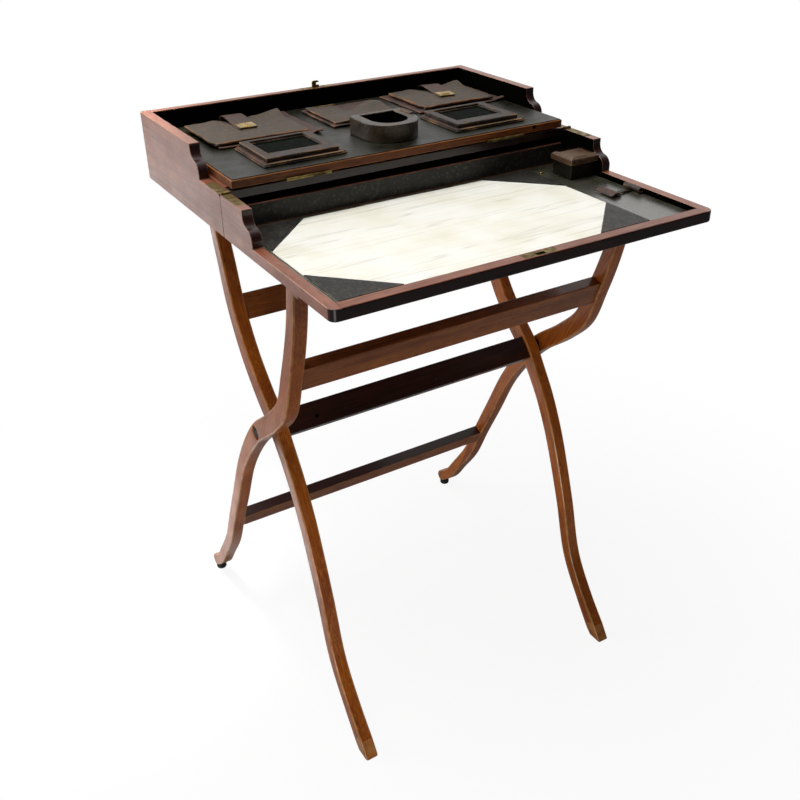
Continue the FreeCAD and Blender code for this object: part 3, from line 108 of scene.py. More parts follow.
def wood(name, grain_turn, dark, middle, light, worn, gloss, polish=0.8):
    """French-polished timber sawn straight: long soft figure, fine fibres and short dark pores.
    grain_turn turns the texture's Z to the grain. Arrises are rubbed paler, and dark wax has
    gathered in patches."""
    material, tree, surface = new_material(name, {
        "Specular IOR Level": 0.2, "Coat Weight": polish, "Coat Roughness": 0.16})
    place = node(tree, "TexCoord").outputs["Object"]
    along = {"Vector": place, "Rotation": grain_turn, "Scale": (1, 1, 16)}
    figured = node(tree, "Mapping", along, vector_type="TEXTURE").outputs[0]
    along["Scale"] = (1, 1, 40)
    fibrous = node(tree, "Mapping", along, vector_type="TEXTURE").outputs[0]
    figure = node(tree, "TexNoise", {
        "Vector": figured, "Scale": METRE / 34, "Detail": 3.0, "Distortion": 0.8})
    fibres = node(tree, "TexNoise", {"Vector": fibrous, "Scale": METRE / 1.6, "Detail": 4.0})
    pores = node(tree, "TexNoise", {"Vector": figured, "Scale": METRE / 0.9, "Detail": 1.0})
    wax = node(tree, "TexNoise", {"Vector": place, "Scale": METRE / 45, "Detail": 5.0})
    band = node(tree, "MapRange", {0: figure.outputs[0], 1: 0.36, 2: 0.64})
    streak = node(tree, "MapRange", {0: fibres.outputs[0], 1: 0.42, 2: 0.72, 4: 0.75})
    pore = node(tree, "MapRange", {0: pores.outputs[0], 1: 0.60, 2: 0.70, 4: 0.65})
    grime = node(tree, "MapRange", {0: wax.outputs[0], 1: 0.45, 2: 0.75, 4: 0.6})
    rubbed = node(tree, "Attribute", attribute_name="wear")
    patchy = node(tree, "TexNoise", {"Vector": place, "Scale": METRE / 14, "Detail": 4.0})
    patch = node(tree, "MapRange", {0: patchy.outputs[0], 1: 0.2, 2: 0.9})
    edge = node(tree, "Math", {0: rubbed.outputs["Fac"], 1: patch.outputs[0]},
                operation="MULTIPLY")
    colour = layered(tree, dark, (band, middle), (streak, light), (pore, "#1c0b07"),
                     (grime, dark), (edge, worn))
    rough = node(tree, "MapRange", {0: wax.outputs[0], 1: 0.3, 2: 0.7, 3: gloss, 4: gloss + 0.16})
    height = node(tree, "Math", {0: fibres.outputs[0], 1: pore.outputs[0]}, operation="SUBTRACT")
    bump = node(tree, "Bump", {"Strength": 0.25, "Distance": 0.0002, "Height": height.outputs[0]})
    drive(tree, surface, Base_Color=colour, Roughness=rough.outputs[0], Normal=bump.outputs[0])
    return material


def leather(name, deep, body, scuffed, gloss, pebble_mm=1.4, worn_share=0.5, sheen=0.45,
            polish=0.0):
    """Vegetable-tanned hide, boarded to a pebble grain: creased, handled shiny, rubbed at its
    edges. A waxed one has some polish over it."""
    material, tree, surface = new_material(name, {
        "Specular IOR Level": sheen, "Coat Weight": polish, "Coat Roughness": 0.22})
    place = node(tree, "TexCoord").outputs["Object"]
    mottle = node(tree, "TexNoise", {"Vector": place, "Scale": METRE / 24, "Detail": 6.0})
    dust = node(tree, "TexNoise", {"Vector": place, "Scale": METRE / 3.5, "Detail": 3.0})
    pebble = node(tree, "TexVoronoi", {
        "Vector": place, "Scale": METRE / pebble_mm, "Randomness": 1.0})
    crease = node(tree, "TexVoronoi", {
        "Vector": mottle.outputs["Color"], "Scale": 5.0}, feature="DISTANCE_TO_EDGE")
    shade = node(tree, "MapRange", {0: mottle.outputs[0], 1: 0.3, 2: 0.7})
    rub = node(tree, "MapRange", {0: dust.outputs[0], 1: 0.52, 2: 0.74, 4: 0.4})
    rubbed = node(tree, "Attribute", attribute_name="wear")
    patch = node(tree, "MapRange", {0: mottle.outputs[0], 1: 0.62 - worn_share * 0.3, 2: 0.66})
    edge = node(tree, "Math", {0: rubbed.outputs["Fac"], 1: patch.outputs[0]},
                operation="MULTIPLY")
    colour = layered(tree, deep, (shade, body), (rub, scuffed), (edge, scuffed))
    rough = node(tree, "MapRange", {
        0: mottle.outputs[0], 1: 0.3, 2: 0.7, 3: gloss, 4: gloss + 0.2})
    folds = node(tree, "MapRange", {
        0: crease.outputs["Distance"], 1: 0.0, 2: 0.12, 3: 0.0, 4: 0.6})
    height = node(tree, "Math", {0: pebble.outputs["Distance"], 1: folds.outputs[0]},
                  operation="ADD")
    bump = node(tree, "Bump", {"Strength": 0.45, "Distance": 0.0004, "Height": height.outputs[0]})
    drive(tree, surface, Base_Color=colour, Roughness=rough.outputs[0], Normal=bump.outputs[0])
    return material


def metal(name, bright, tarnish, rough_low, rough_high):
    """Cast and filed metal gone dull: tarnish lies in cloudy patches over the bright metal."""
    material, tree, surface = new_material(name, {"Metallic": 1.0})
    place = node(tree, "TexCoord").outputs["Object"]
    cloud = node(tree, "TexNoise", {"Vector": place, "Scale": METRE / 9, "Detail": 6.0})
    pits = node(tree, "TexNoise", {"Vector": place, "Scale": METRE / 0.8, "Detail": 2.0})
    dull = node(tree, "MapRange", {0: cloud.outputs[0], 1: 0.35, 2: 0.65})
    colour = layered(tree, bright, (dull, tarnish))
    rough = node(tree, "MapRange", {0: dull.outputs[0], 3: rough_low, 4: rough_high})
    bump = node(tree, "Bump", {"Strength": 0.2, "Distance": 0.0002, "Height": pits.outputs[0]})
    drive(tree, surface, Base_Color=colour, Roughness=rough.outputs[0], Normal=bump.outputs[0])
    return material


def speckled(name, body, speck, rough, grain_mm, bump_depth, shader=()):
    """Plain stock with specks in it: lint on cloth lining, bloom on rubber, flecks in horn."""
    material, tree, surface = new_material(name, {"Roughness": rough, **dict(shader)})
    place = node(tree, "TexCoord").outputs["Object"]
    lint = node(tree, "TexNoise", {"Vector": place, "Scale": METRE / grain_mm, "Detail": 8.0})
    fleck = node(tree, "MapRange", {0: lint.outputs[0], 1: 0.55, 2: 0.8, 4: 0.5})
    colour = layered(tree, body, (fleck, speck))
    bump = node(tree, "Bump", {
        "Strength": 0.4, "Distance": bump_depth, "Height": lint.outputs[0]})
    drive(tree, surface, Base_Color=colour, Normal=bump.outputs[0])
    return material


def blotting_paper():
    """Soft felted paper: cream, foxed in patches, with long dents where sheets were ruled, painted
    grey along them as painted shade.
    """
    material, tree, surface = new_material("blotting_paper", {"Roughness": 0.9})
    place = node(tree, "TexCoord").outputs["Object"]
    felt = node(tree, "TexNoise", {"Vector": place, "Scale": METRE / 1.2, "Detail": 5.0})
    foxing = node(tree, "TexNoise", {"Vector": place, "Scale": METRE / 60, "Detail": 6.0})
    long_way = node(tree, "Mapping", {"Vector": place, "Scale": (0.04, 1, 1)}).outputs[0]
    dents = node(tree, "TexNoise", {"Vector": long_way, "Scale": METRE / 16, "Detail": 2.0})
    ridge = node(tree, "Math", {0: dents.outputs[0], 1: 0.5}, operation="SUBTRACT")
    nearness = node(tree, "Math", {0: ridge.outputs[0]}, operation="ABSOLUTE")
    # The dents are painted grey as painted shade in them.
    line = node(tree, "MapRange", {0: nearness.outputs[0], 1: 0.0, 2: 0.022, 3: 0.34, 4: 0.0})
    age = node(tree, "MapRange", {0: foxing.outputs[0], 1: 0.4, 2: 0.75})
    colour = layered(tree, "#f3f1e8", (age, "#e8e3d0"), (line, "#a9a494"))
    height = node(tree, "Math", {0: felt.outputs[0], 1: line.outputs[0]}, operation="SUBTRACT")
    bump = node(tree, "Bump", {"Strength": 0.3, "Distance": 0.0003, "Height": height.outputs[0]})
    drive(tree, surface, Base_Color=colour, Normal=bump.outputs[0])
    return material


QUARTER = math.pi / 2
ALONG_X, ALONG_Y, ALONG_Z = (0, QUARTER, 0), (QUARTER, 0, 0), (0, 0, 0)
# Timber tones: in the soft grain, the hard grain, the palest fibres, and where an arris is rubbed.
MAHOGANY = ("#6c3926", "#8b533c", "#a1674c", "#b98668")
LEG_TONES = ("#7a3506", "#a3530f", "#b96f26", "#c08a50")
RAIL_TONES = ("#63300f", "#8a4c1d", "#a2622a", "#b07f48")
# Near-black tones: darker end grain, and painted shade on front faces and on rails under the leaf.
NEAR_BLACK_SHADE_TONES = ("#170705", "#260f0a", "#3a1a12", "#93624a")
BOARD_TONES = ("#542810", "#77411d", "#8d5428", "#a5723c")
# Near-black tones, painted on the board's hinge rail as painted shade.
HINGE_RAIL_SHADE_TONES = ("#0e0807", "#1c100d", "#2c1a14", "#4a2d22")
# Each leg leans, and its grain runs with it, from shoulder to foot.
OUTER_LEAN, INNER_LEAN = math.radians(28), math.radians(-26)

# The box is mahogany under French polish: warm brown, faded, with a clear soft shine. Its sawn
# ends drank the polish and went darker. They and the leaf's front are painted nearly black, partly
# for that and partly as painted shade on faces turned to the front. The board's edge has lost
# nearly all of the polish.
mahogany_side = wood("mahogany_side_grain", ALONG_Y, *MAHOGANY, 0.34, 0.55)
mahogany_long = wood("mahogany_long_grain", ALONG_X, *MAHOGANY, 0.34, 0.5)
sawn_and_front_shade = wood("mahogany_sawn_ends_front_shade", ALONG_X, *NEAR_BLACK_SHADE_TONES, 0.34, 0.6)
board_edge = wood("mahogany_board", ALONG_X, *BOARD_TONES, 0.4, 0.05)
# A near-black copy of the mahogany: painted shade on the hinge rail.
hinge_rail_shade = wood("mahogany_hinge_rail_shade", ALONG_X, *HINGE_RAIL_SHADE_TONES, 0.34, 0.5)
# The stand is bent beech, stained and varnished: orange-brown legs that mirror the light at a
# slant, redder rails, and a near-black copy of the rail wood painted on as painted shade under the
# leaf.
leg_outer = wood("beech_stained_outer", (OUTER_LEAN, 0, 0), *LEG_TONES, 0.33)
leg_inner = wood("beech_stained_inner", (INNER_LEAN, 0, 0), *LEG_TONES, 0.33)
leg_rail = wood("beech_stained_rail", ALONG_X, *RAIL_TONES, 0.36)
rail_shade_black = wood("beech_painted_shade", ALONG_X, *NEAR_BLACK_SHADE_TONES, 0.36)

# Calf hides: the board's is black with a green cast and lightly waxed, the writing surface's is
# polished by sleeves until it mirrors the window, its tones paler partly as painted sheen, and
# those of the pouches are olive and dry.
board_hide = leather("boarded_calf_black", "#100f08", "#1f1e12", "#343222", 0.26, sheen=0.38)
# The writing calf's tones are lifted partly as painted sheen.
writing_hide = leather("writing_calf_dark", "#2c2b20", "#413f32", "#5d5a47", 0.22, sheen=1.0,
                       polish=1.0)
pouch_hide = leather("pouch_calf_olive", "#2b241a", "#41372a", "#8a5a34", 0.46, 1.0, 0.8)
strap_hide = leather("strap_calf_brown", "#2a1a13", "#43291f", "#7d5236", 0.42, 0.8, 0.6)
lid_hide = leather("lid_calf_worn", "#3a2517", "#5c432f", "#a08564", 0.34, 0.8, 0.9)
under_hide = leather("pouch_backing_hide", "#231512", "#45302a", "#7b5540", 0.55, 1.6, 0.7)
frame_hide = leather("window_frame_hide", "#161009", "#2e231b", "#7a5838", 0.4, 1.0, 0.6)
ring_hide = leather("holder_hide_waxed", "#1b140b", "#3a2c17", "#6b563a", 0.24, 1.2, 0.4, 0.6)
corner_hide = leather("corner_hide_black", "#0c0c09", "#191812", "#6a604c", 0.4, 1.0, 0.9)
piping_hide = leather("piping_tan", "#6e5534", "#8c7048", "#c0a070", 0.45, 0.8, 0.5)

# Brass left to age is olive and dull, the clasps are kept bright by fingers, and the steel of the
# bolts is browned against rust.
brass = metal("brass_aged", "#9a8450", "#4b4026", 0.35, 0.6)
clasp_brass = metal("brass_handled", "#cdb070", "#8a7340", 0.18, 0.38)
steel = metal("steel_browned", "#4a443e", "#241d19", 0.35, 0.6)

# Brushed cotton swallows the light, moulded rubber is matt, the dark horn pane has only a faint
# gloss over black, and the bottle is thick green glass.
lining = speckled("cotton_lining_black", "#050504", "#11100d", 0.95, 2.5, 0.0003,
                  {"Specular IOR Level": 0.0})
rubber = speckled("rubber_black", "#101010", "#2a2927", 0.7, 1.5, 0.0001)
pane = speckled("horn_pane_dark", "#0c0f0b", "#20261f", 0.2, 12, 0.0001, {
    "Specular IOR Level": 0.0, "Coat Weight": 0.05, "Coat Roughness": 0.08})
glass = speckled("bottle_glass_green", "#dfe8e0", "#c8d6cc", 0.05, 8, 0.0001,
                 {"Transmission Weight": 0.95, "IOR": 1.5})
paper = blotting_paper()


# ------------------------ shaping tools
def box_mm(name):
    """The two corners of a solid's box, in millimetres."""
    return [Vector(corner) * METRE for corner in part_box(name)]


def alone(piece):
    """Selects one piece and nothing else."""
    bpy.ops.object.select_all(action="DESELECT")
    piece.select_set(True)
    bpy.context.view_layer.objects.active = piece
    return piece


def modify(piece, kind, **settings):
    """Puts a modifier on a piece and applies it."""
    alone(piece)
    modifier = piece.modifiers.new(kind.title(), kind)
    for name, value in settings.items():
        setattr(modifier, name, value)
    bpy.ops.object.modifier_apply(modifier=modifier.name)


def pick(piece, kind, chosen):
    """Opens a piece for editing with only its chosen points, edges or faces selected."""
    alone(piece)
    bpy.ops.object.mode_set(mode="EDIT")
    bpy.ops.mesh.select_mode(type=kind)
    bpy.ops.mesh.select_all(action="DESELECT")
    bpy.ops.object.mode_set(mode="OBJECT")
    mesh = piece.data
    if kind == "VERT":
        for vertex in mesh.vertices:
            vertex.select = chosen(vertex.co)
    elif kind == "EDGE":
        for edge in mesh.edges:
            a, b = (mesh.vertices[i].co for i in edge.vertices)
            edge.select = chosen(a, b)
    else:
        for face in mesh.polygons:
            face.select = chosen(face.center, face.normal)
    bpy.ops.object.mode_set(mode="EDIT")


def close():
    """Ends editing."""
    bpy.ops.object.mode_set(mode="OBJECT")


def draw_out(*step):
    """Extrudes what is selected by a step."""
    bpy.ops.mesh.extrude_region_move(TRANSFORM_OT_translate={"value": step})


def settle(piece):
    """Moves a piece's place and turn into its mesh."""
    alone(piece)
    bpy.ops.object.transform_apply(location=True, rotation=True, scale=True)
    return piece


def block(low, high):
    """A box to start from, between two corners in millimetres."""
    middle = [(a + b) / 2 for a, b in zip(low, high)]
    bpy.ops.object.select_all(action="DESELECT")
    bpy.ops.mesh.primitive_cube_add(size=1, location=middle)
    piece = bpy.context.object
    piece.scale = [b - a for a, b in zip(low, high)]
    return settle(piece)


def hide(x0, x1, y0, y1, z, cell=3.0):
    """A flat skin to start from, divided into cells of about the given size."""
    bpy.ops.object.select_all(action="DESELECT")
    bpy.ops.mesh.primitive_grid_add(
        size=1, x_subdivisions=round((x1 - x0) / cell), y_subdivisions=round((y1 - y0) / cell),
        location=((x0 + x1) / 2, (y0 + y1) / 2, z))
    piece = bpy.context.object
    piece.scale = (x1 - x0, y1 - y0, 1)
    return settle(piece)


def pull(piece, at, reach, by):
    """Draws the surface round a point by a step, less and less out to the reach."""
    at = Vector(at)
    nearest = min(piece.data.vertices, key=lambda v: (v.co - at).length).co.copy()
    pick(piece, "VERT", lambda co: (co - nearest).length < 0.01)
    bpy.ops.transform.translate(
        value=by, use_proportional_edit=True, proportional_edit_falloff="SMOOTH",
        proportional_size=reach)
    close()


def work(piece, z, *pulls):
    """Draws a skin at several places, each given as x, y, reach and step."""
    for x, y, reach, by in pulls:
        pull(piece, (x, y, z), reach, by)


def crumple(piece, size, depth):
    """Raises a skin in soft lumps of one size and depth, as hide worked by hand has."""
    lumps = bpy.data.textures.new("lumps", "CLOUDS")
    lumps.noise_scale = size
    lumps.noise_depth = 2
    modify(piece, "DISPLACE", texture=lumps, texture_coords="GLOBAL", strength=depth,
           mid_level=0.5, direction="Z")


def mark_wear(piece, worn):
    """Writes how far each face is rubbed, for the materials to read."""
    old = piece.data.attributes.get("wear")
    if old:
        piece.data.attributes.remove(old)
    wear = piece.data.attributes.new("wear", "FLOAT", "FACE")
    for face in piece.data.polygons:
        wear.data[face.index].value = worn(face)
        face.material_index = 0


def round_over(piece, width, segments=3, angle=35):
    """Rounds a piece's arrises, marks them as worn and keeps its flats flat."""
    piece.data.materials.clear()
    for _ in range(2):
        piece.data.materials.append(None)
    modify(piece, "BEVEL", width=width, segments=segments, limit_method="ANGLE",
           angle_limit=math.radians(angle), use_clamp_overlap=False, material=1)
    mark_wear(piece, lambda face: float(face.material_index == 1))


def finish(piece, name, body, material, replaced=()):
    """Brings a piece to metres, names it, paints it and puts it on its body, where it is given
    one."""
    settle(piece)
    piece.scale = (1 / METRE,) * 3
    settle(piece)
    bpy.ops.mesh.customdata_custom_splitnormals_clear()
    bpy.ops.object.shade_smooth_by_angle(angle=math.radians(35), keep_sharp_edges=False)
    modify(piece, "WEIGHTED_NORMAL", mode="FACE_AREA", keep_sharp=True)
    piece.name = name
    piece.data.name = name
    piece.data.materials.clear()
    piece.data.materials.append(material)
    if body:
        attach(piece, body)
    if replaced:
        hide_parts(*replaced)
    return piece


def nowhere(a, b):
    """Chooses no edge."""
    return False


def joined_copy(name, cuts=()):
    """A copy of a solid with its points joined up and its flats made whole, in millimetres. Faces
    that run round a notch are parted at the cuts in y."""
    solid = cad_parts[name]
    piece = bpy.data.objects.new(name + "_eased", solid.data.copy())
    bpy.context.collection.objects.link(piece)
    piece.scale = (METRE,) * 3
    settle(piece)
    pick(piece, "FACE", lambda centre, normal: True)
    bpy.ops.mesh.remove_doubles(threshold=0.002)
    bpy.ops.mesh.dissolve_limited(angle_limit=math.radians(0.2))
    for cut in cuts:
        bpy.ops.mesh.select_all(action="SELECT")
        bpy.ops.mesh.bisect(plane_co=(0, cut, 0), plane_no=(0, 1, 0))
    close()
    return piece


def ease(piece, width, crisp=nowhere):
    """Rounds a sawn part's arrises but for those left crisp, and marks them as rubbed. Faces are
    deselected, because a selected face brings back the edges that were left out."""
    pick(piece, "EDGE", nowhere)
    bpy.ops.mesh.edges_select_sharp(sharpness=math.radians(30))
    close()
    piece.data.materials.clear()
    for _ in range(2):
        piece.data.materials.append(None)
    points = piece.data.vertices
    for edge in piece.data.edges:
        edge.select = edge.select and not crisp(*(points[i].co for i in edge.vertices))
    for face in piece.data.polygons:
        face.material_index = 0
        face.select = False
    bpy.ops.object.mode_set(mode="EDIT")
    bpy.ops.mesh.bevel(offset=width, segments=3, affect="EDGES", material=1)
    close()
    mark_wear(piece, lambda face: float(face.material_index == 1))


def eased(name, body, width, material, crisp=nowhere, cuts=()):
    """A part as it was sawn, with its arrises eased."""
    piece = joined_copy(name, cuts)
    ease(piece, width, crisp)
    return finish(piece, name + "_eased", body, material, [name])


def cover(piece, material, chosen):
    """Gives the chosen faces of a finished piece another material."""
    piece.data.materials.append(material)
    for face in piece.data.polygons:
        if chosen(face.center, face.normal):
            face.material_index = len(piece.data.materials) - 1


def turned(name, centre, radius, depth, body, material, axis=ALONG_Y, nick=0.0,
           replaced=()):
    """A round head, plug or foot: a short disc with its rims rounded. A screw has a nick cut
    across it."""
    bpy.ops.object.select_all(action="DESELECT")
    bpy.ops.mesh.primitive_cylinder_add(vertices=32, radius=radius, depth=depth, rotation=axis,
                                        location=centre)
    head = settle(bpy.context.object)
    modify(head, "BEVEL", width=min(radius, depth) * 0.4, segments=4, limit_method="ANGLE",
           angle_limit=0.9)
    if nick:
        cutter = block((centre[0] - radius, centre[1] - depth, centre[2] - nick / 2),
                       (centre[0] + radius, centre[1] - depth * 0.3, centre[2] + nick / 2))
        modify(head, "BOOLEAN", object=cutter, operation="DIFFERENCE", solver="EXACT")
        bpy.data.objects.remove(cutter)
    return finish(head, name, body, material, replaced)


# ------------------------ woodwork
def hinge_seat(a, b):
    """Edges in and beside the hinge leaves' seats, on the walls' tops near the seam."""
    return max(a.z, b.z) > 756 and min(a.z, b.z) > 740 and max(abs(a.y), abs(b.y)) < 52


SEAT_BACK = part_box("case_hinge_leaves")[1].y * METRE
SEAT_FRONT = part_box("leaf_hinge_leaves")[0].y * METRE
# Inner sides of the walls and back of the leaf's front rail, in millimetres.
WALL_INSIDE, RAIL_BACK = 247, -257
# Where the two halves meet, and just above the walls' underside, in metres as finished faces are.
SEAM, UNDERSIDE = -0.0023, 0.7065


def wall_joint(a, b):
    """Hinge seats, and the edges where the front rail butts against a leaf wall."""
    return hinge_seat(a, b) or (max(a.y, b.y) < RAIL_BACK
                                and all(abs(abs(c.x) - WALL_INSIDE) < 0.1 for c in (a, b)))


def leaf_front(centre, normal):
    """Faces on the leaf's front, with the rounded corners beside it, painted nearly black as
    painted shade on the front.
    """
    return centre.y < -0.255 and (normal.y < -0.6
                                  or (centre.y < -0.2705 and abs(normal.z) < 0.6))


def ends_and_shaded_front(centre, normal):
    """Front ends of the walls: the ogees and steps, and the leaf's front, but not the seam. Their
    near-black is partly end grain and partly painted shade on faces turned to the front.
    """
    return leaf_front(centre, normal) or (
        normal.y < -0.2 and centre.z > UNDERSIDE and abs(centre.y - SEAM) > 0.002)


def seam_edge(centre, normal):
    """Arrises rounded over at the seam, painted black as painted shade in the groove between the
    halves.
    """
    return abs(centre.y - SEAM) < 0.0011 and 0.05 < abs(normal.y) < 0.98


for side, inward in (("left", 1), ("right", -1)):
    for wall, body, crisp, cut in ((f"case_{side}_wall", "case", hinge_seat, SEAT_BACK),
                                   (f"leaf_{side}_wall", "leaf", wall_joint, SEAT_FRONT)):
        piece = eased(wall, body, 0.8, mahogany_side, crisp=crisp, cuts=(cut,))
        # The walls' front ends are painted near-black: partly end grain, partly painted shade on
        # faces turned to the front.
        cover(piece, sawn_and_front_shade, ends_and_shaded_front)
        # Inner faces take the black cotton lining; the seam's rounded arrises take it too, as
        # painted shade in the groove.
        cover(piece, lining, lambda centre, normal: normal.x * inward > 0.9
              or seam_edge(centre, normal))
eased("case_back_wall", "case", 0.5, mahogany_long)
eased("case_front_rail", "case", 0.6, mahogany_long)
# The board's hinge rail is painted near-black as painted shade.
eased("board_hinge_rail", "case", 0.8, hinge_rail_shade)
rail = eased("leaf_front_rail", "leaf", 0.9, mahogany_long, crisp=wall_joint)
# The leaf rail's long-grain front is painted near-black as painted shade.
cover(rail, sawn_and_front_shade, leaf_front)
eased("stationery_board", "board", 0.9, board_edge)
eased("stand_pivot_blocks", "case", 0.8, mahogany_side)
eased("leaf_stop_cleats", "leaf", 0.8, mahogany_side)
eased("outer_upper_rail", "outer_frame", 0.8, leg_rail)
eased("inner_top_rail", "inner_frame", 0.8, leg_rail)
# The middle rail is painted near-black all over as painted shade under the leaf.
eased("inner_middle_rail", "inner_frame", 0.8, rail_shade_black)
# The lowest rail is set square to the curve of the legs, so its top faces forward too. That top is
# painted near-black as painted shade under the desk.
low, high = box_mm("outer_lower_rail")
rail = block((low.x, -8.8, -12.4), (high.x, 8.8, 12.4))
rail.rotation_euler = (math.radians(24), 0, 0)
rail.location = (0, 147.5, 181.5)
settle(rail)
ease(rail, 0.8)
finish(rail, "outer_lower_rail_set", "outer_frame", leg_rail, ["outer_lower_rail"])
# Its top takes the near-black as painted shade.
cover(rail, rail_shade_black, lambda centre, normal: normal.z > 0.6)
# A dark knot in the board's front edge.
turned("board_knot", (196, -1.4, 769), 2.6, 1.2, "board", lining)

# ------------------------ bent legs
# Each leg's middle line from its top to its foot, as (y, z, width).
OUTER_LINE = (
    (-149.2, 705.7, 19.3), (-139.2, 645.8, 20), (-128.1, 605.9, 22), (-113, 563, 24),
    (-90.9, 508.9, 26), (-54.6, 471.9, 27), (0.8, 427, 27), (35.5, 387.7, 24), (72.3, 334.2, 21),
    (112, 254.4, 21), (146.7, 184.5, 20), (173.5, 128, 20), (212.2, 72.4, 19), (235.9, 40.1, 19.5),
    (269.2, 13.8, 20.5))
INNER_LINE = (
    (148.6, 704.4, 21), (140.7, 656.1, 21), (127.8, 616, 22), (116.7, 578.9, 24),
    (98.8, 539.9, 25), (74.7, 502, 26), (39.7, 463, 27), (0.8, 427, 27), (-18.3, 402.2, 24),
    (-45.2, 363.8, 22), (-72.2, 312.1, 21), (-96.3, 251.1, 20), (-112.2, 205.8, 19.5),
    (-145.3, 105.9, 19), (-180.2, 53.8, 19), (-222.8, 0, 23))
# Where the legs cross and where the inner ones hang, as (y, z).
PIVOT, TOP_PIVOT = (0.8, 427), (147.8, 694)
# Steps along a leg, and how far the first and last stay from its ends, which are rounded.
LEG_STEP, END_ROOM = 7, 19


def smooth_run(line, reach):
    """Points about that far apart on a smooth run through the given ones."""
    points = [Vector(point) for point in line]
    gaps = [(b.xy - a.xy).length for a, b in zip(points, points[1:])]
    slopes = [(b - a) / gap for a, b, gap in zip(points, points[1:], gaps)]
    tangents = [slopes[0]]
    for i in range(1, len(slopes)):
        tangents.append((slopes[i - 1] * gaps[i] + slopes[i] * gaps[i - 1])
                        / (gaps[i] + gaps[i - 1]))
    tangents.append(slopes[-1])
    run = [points[0]]
    for i, gap in enumerate(gaps):
        steps = max(1, round(gap / reach))
        for step in range(1, steps + 1):
            t = step / steps
            ends = (points[i] * (2 * t - 3) * t * t + points[i]
                    - points[i + 1] * (2 * t - 3) * t * t)
            turns = tangents[i] * (t - 2 * t * t + t ** 3) + tangents[i + 1] * (t ** 3 - t * t)
            run.append(ends + turns * gap)
    return run


def bent_leg(line, x0, x1, level_end):
    """A leg drawn out along its line from a square section, turned and drawn in as it goes.
    One end, first or last, is cut level."""
    run = smooth_run(line, LEG_STEP)
    while (run[-2] - run[-1]).xy.length < END_ROOM:
        del run[-2]
    while (run[1] - run[0]).xy.length < END_ROOM:
        del run[1]
    headings = [(b - a).xy.normalized() for a, b in zip(run, run[1:])]
    ways = [headings[0]] + [(a + b).normalized() for a, b in zip(headings, headings[1:])]
    ways.append(headings[-1])
    ways[level_end] = Vector((0, -1))
    bpy.ops.object.select_all(action="DESELECT")
    bpy.ops.mesh.primitive_plane_add(size=1)
    leg = bpy.context.object
    leg.scale = (x1 - x0, run[0].z, 1)
    leg.location = ((x0 + x1) / 2, run[0].x, run[0].y)
    leg.rotation_euler = (math.atan2(ways[0].y, ways[0].x) + QUARTER, 0, 0)
    settle(leg)
    pick(leg, "FACE", lambda centre, normal: True)
    for i in range(1, len(run)):
        step = run[i] - run[i - 1]
        middle = ((x0 + x1) / 2, run[i].x, run[i].y)
        turn = ways[i - 1].angle_signed(ways[i])
        draw = run[i].z / run[i - 1].z
        draw_out(0, step.x, step.y)
        bpy.ops.transform.rotate(value=turn, orient_axis="X", center_override=middle)
        bpy.ops.transform.resize(value=(1, draw, draw), center_override=middle)
    bpy.ops.mesh.select_all(action="SELECT")
    bpy.ops.mesh.normals_make_consistent(inside=False)
    close()
    return leg


def rub_below(leg, height):
    """Wears the whole of a leg's foot below a height."""
    for face in leg.data.polygons:
        if face.center.z < height:
            leg.data.attributes["wear"].data[face.index].value = 1.0


def round_end(leg, end, offset):
    """Rounds the two arrises that run across a leg's end."""
    tip = Vector(end[:2])
    pick(leg, "EDGE", lambda p, q: abs(p.x - q.x) > 5
         and (p.yz - tip).length < offset + 2.5 and (q.yz - tip).length < offset + 2.5)
    bpy.ops.mesh.bevel(offset=offset, segments=7, affect="EDGES")
    close()


def sink(piece, centre, x0, x1, radius):
    """Bores a round recess across a piece."""
    bpy.ops.object.select_all(action="DESELECT")
    bpy.ops.mesh.primitive_cylinder_add(
        vertices=48, radius=radius, depth=abs(x1 - x0), rotation=(0, QUARTER, 0),
        location=((x0 + x1) / 2, centre[0], centre[1]))
    cutter = bpy.context.object
    settle(cutter)
    modify(piece, "BOOLEAN", object=cutter, operation="DIFFERENCE", solver="EXACT")
    bpy.data.objects.remove(cutter)


def pair_of_legs(name, leg, body, material):
    """Finishes a left leg and its copy on the right."""
    alone(leg)
    bpy.ops.object.duplicate()
    other = bpy.context.object
    other.scale = (-1, 1, 1)
    settle(other)
    pick(other, "FACE", lambda centre, normal: True)
    bpy.ops.mesh.normals_make_consistent(inside=False)
    close()
    for piece, side in ((leg, "left"), (other, "right")):
        finish(piece, f"{name}_{side}_bent", body, material, [f"{name}_{side}"])


outer = bent_leg(OUTER_LINE, -246.5, -227.5, 0)
round_end(outer, OUTER_LINE[-1], 9.4)
round_over(outer, 2.4, 4, 50)
sink(outer, PIVOT, -250, -242.5, 10.2)
pair_of_legs("outer_leg", outer, "outer_frame", leg_outer)
inner = bent_leg(INNER_LINE, -222.5, -203.5, -1)
round_end(inner, INNER_LINE[0], 9.6)
round_over(inner, 2.4, 4, 50)
rub_below(inner, 22)
sink(inner, TOP_PIVOT, -226, -218.5, 7.6)
pair_of_legs("inner_leg", inner, "inner_frame", leg_inner)

# ------------------------ pouches
def skin_to_hide(piece, thickness, edge, lumps=0.0):
    """Gives a skin its thickness and softened, rubbed cut edges."""
    if lumps:
        crumple(piece, 16, lumps)
    modify(piece, "SOLIDIFY", thickness=thickness, offset=0.0)
    round_over(piece, edge, 2, 50)
    modify(piece, "SUBSURF", levels=1, render_levels=1)
    keep = [value.value for value in piece.data.attributes["wear"].data]
    mark_wear(piece, lambda face: max(keep[face.index], float(abs(face.normal.z) < 0.6)))


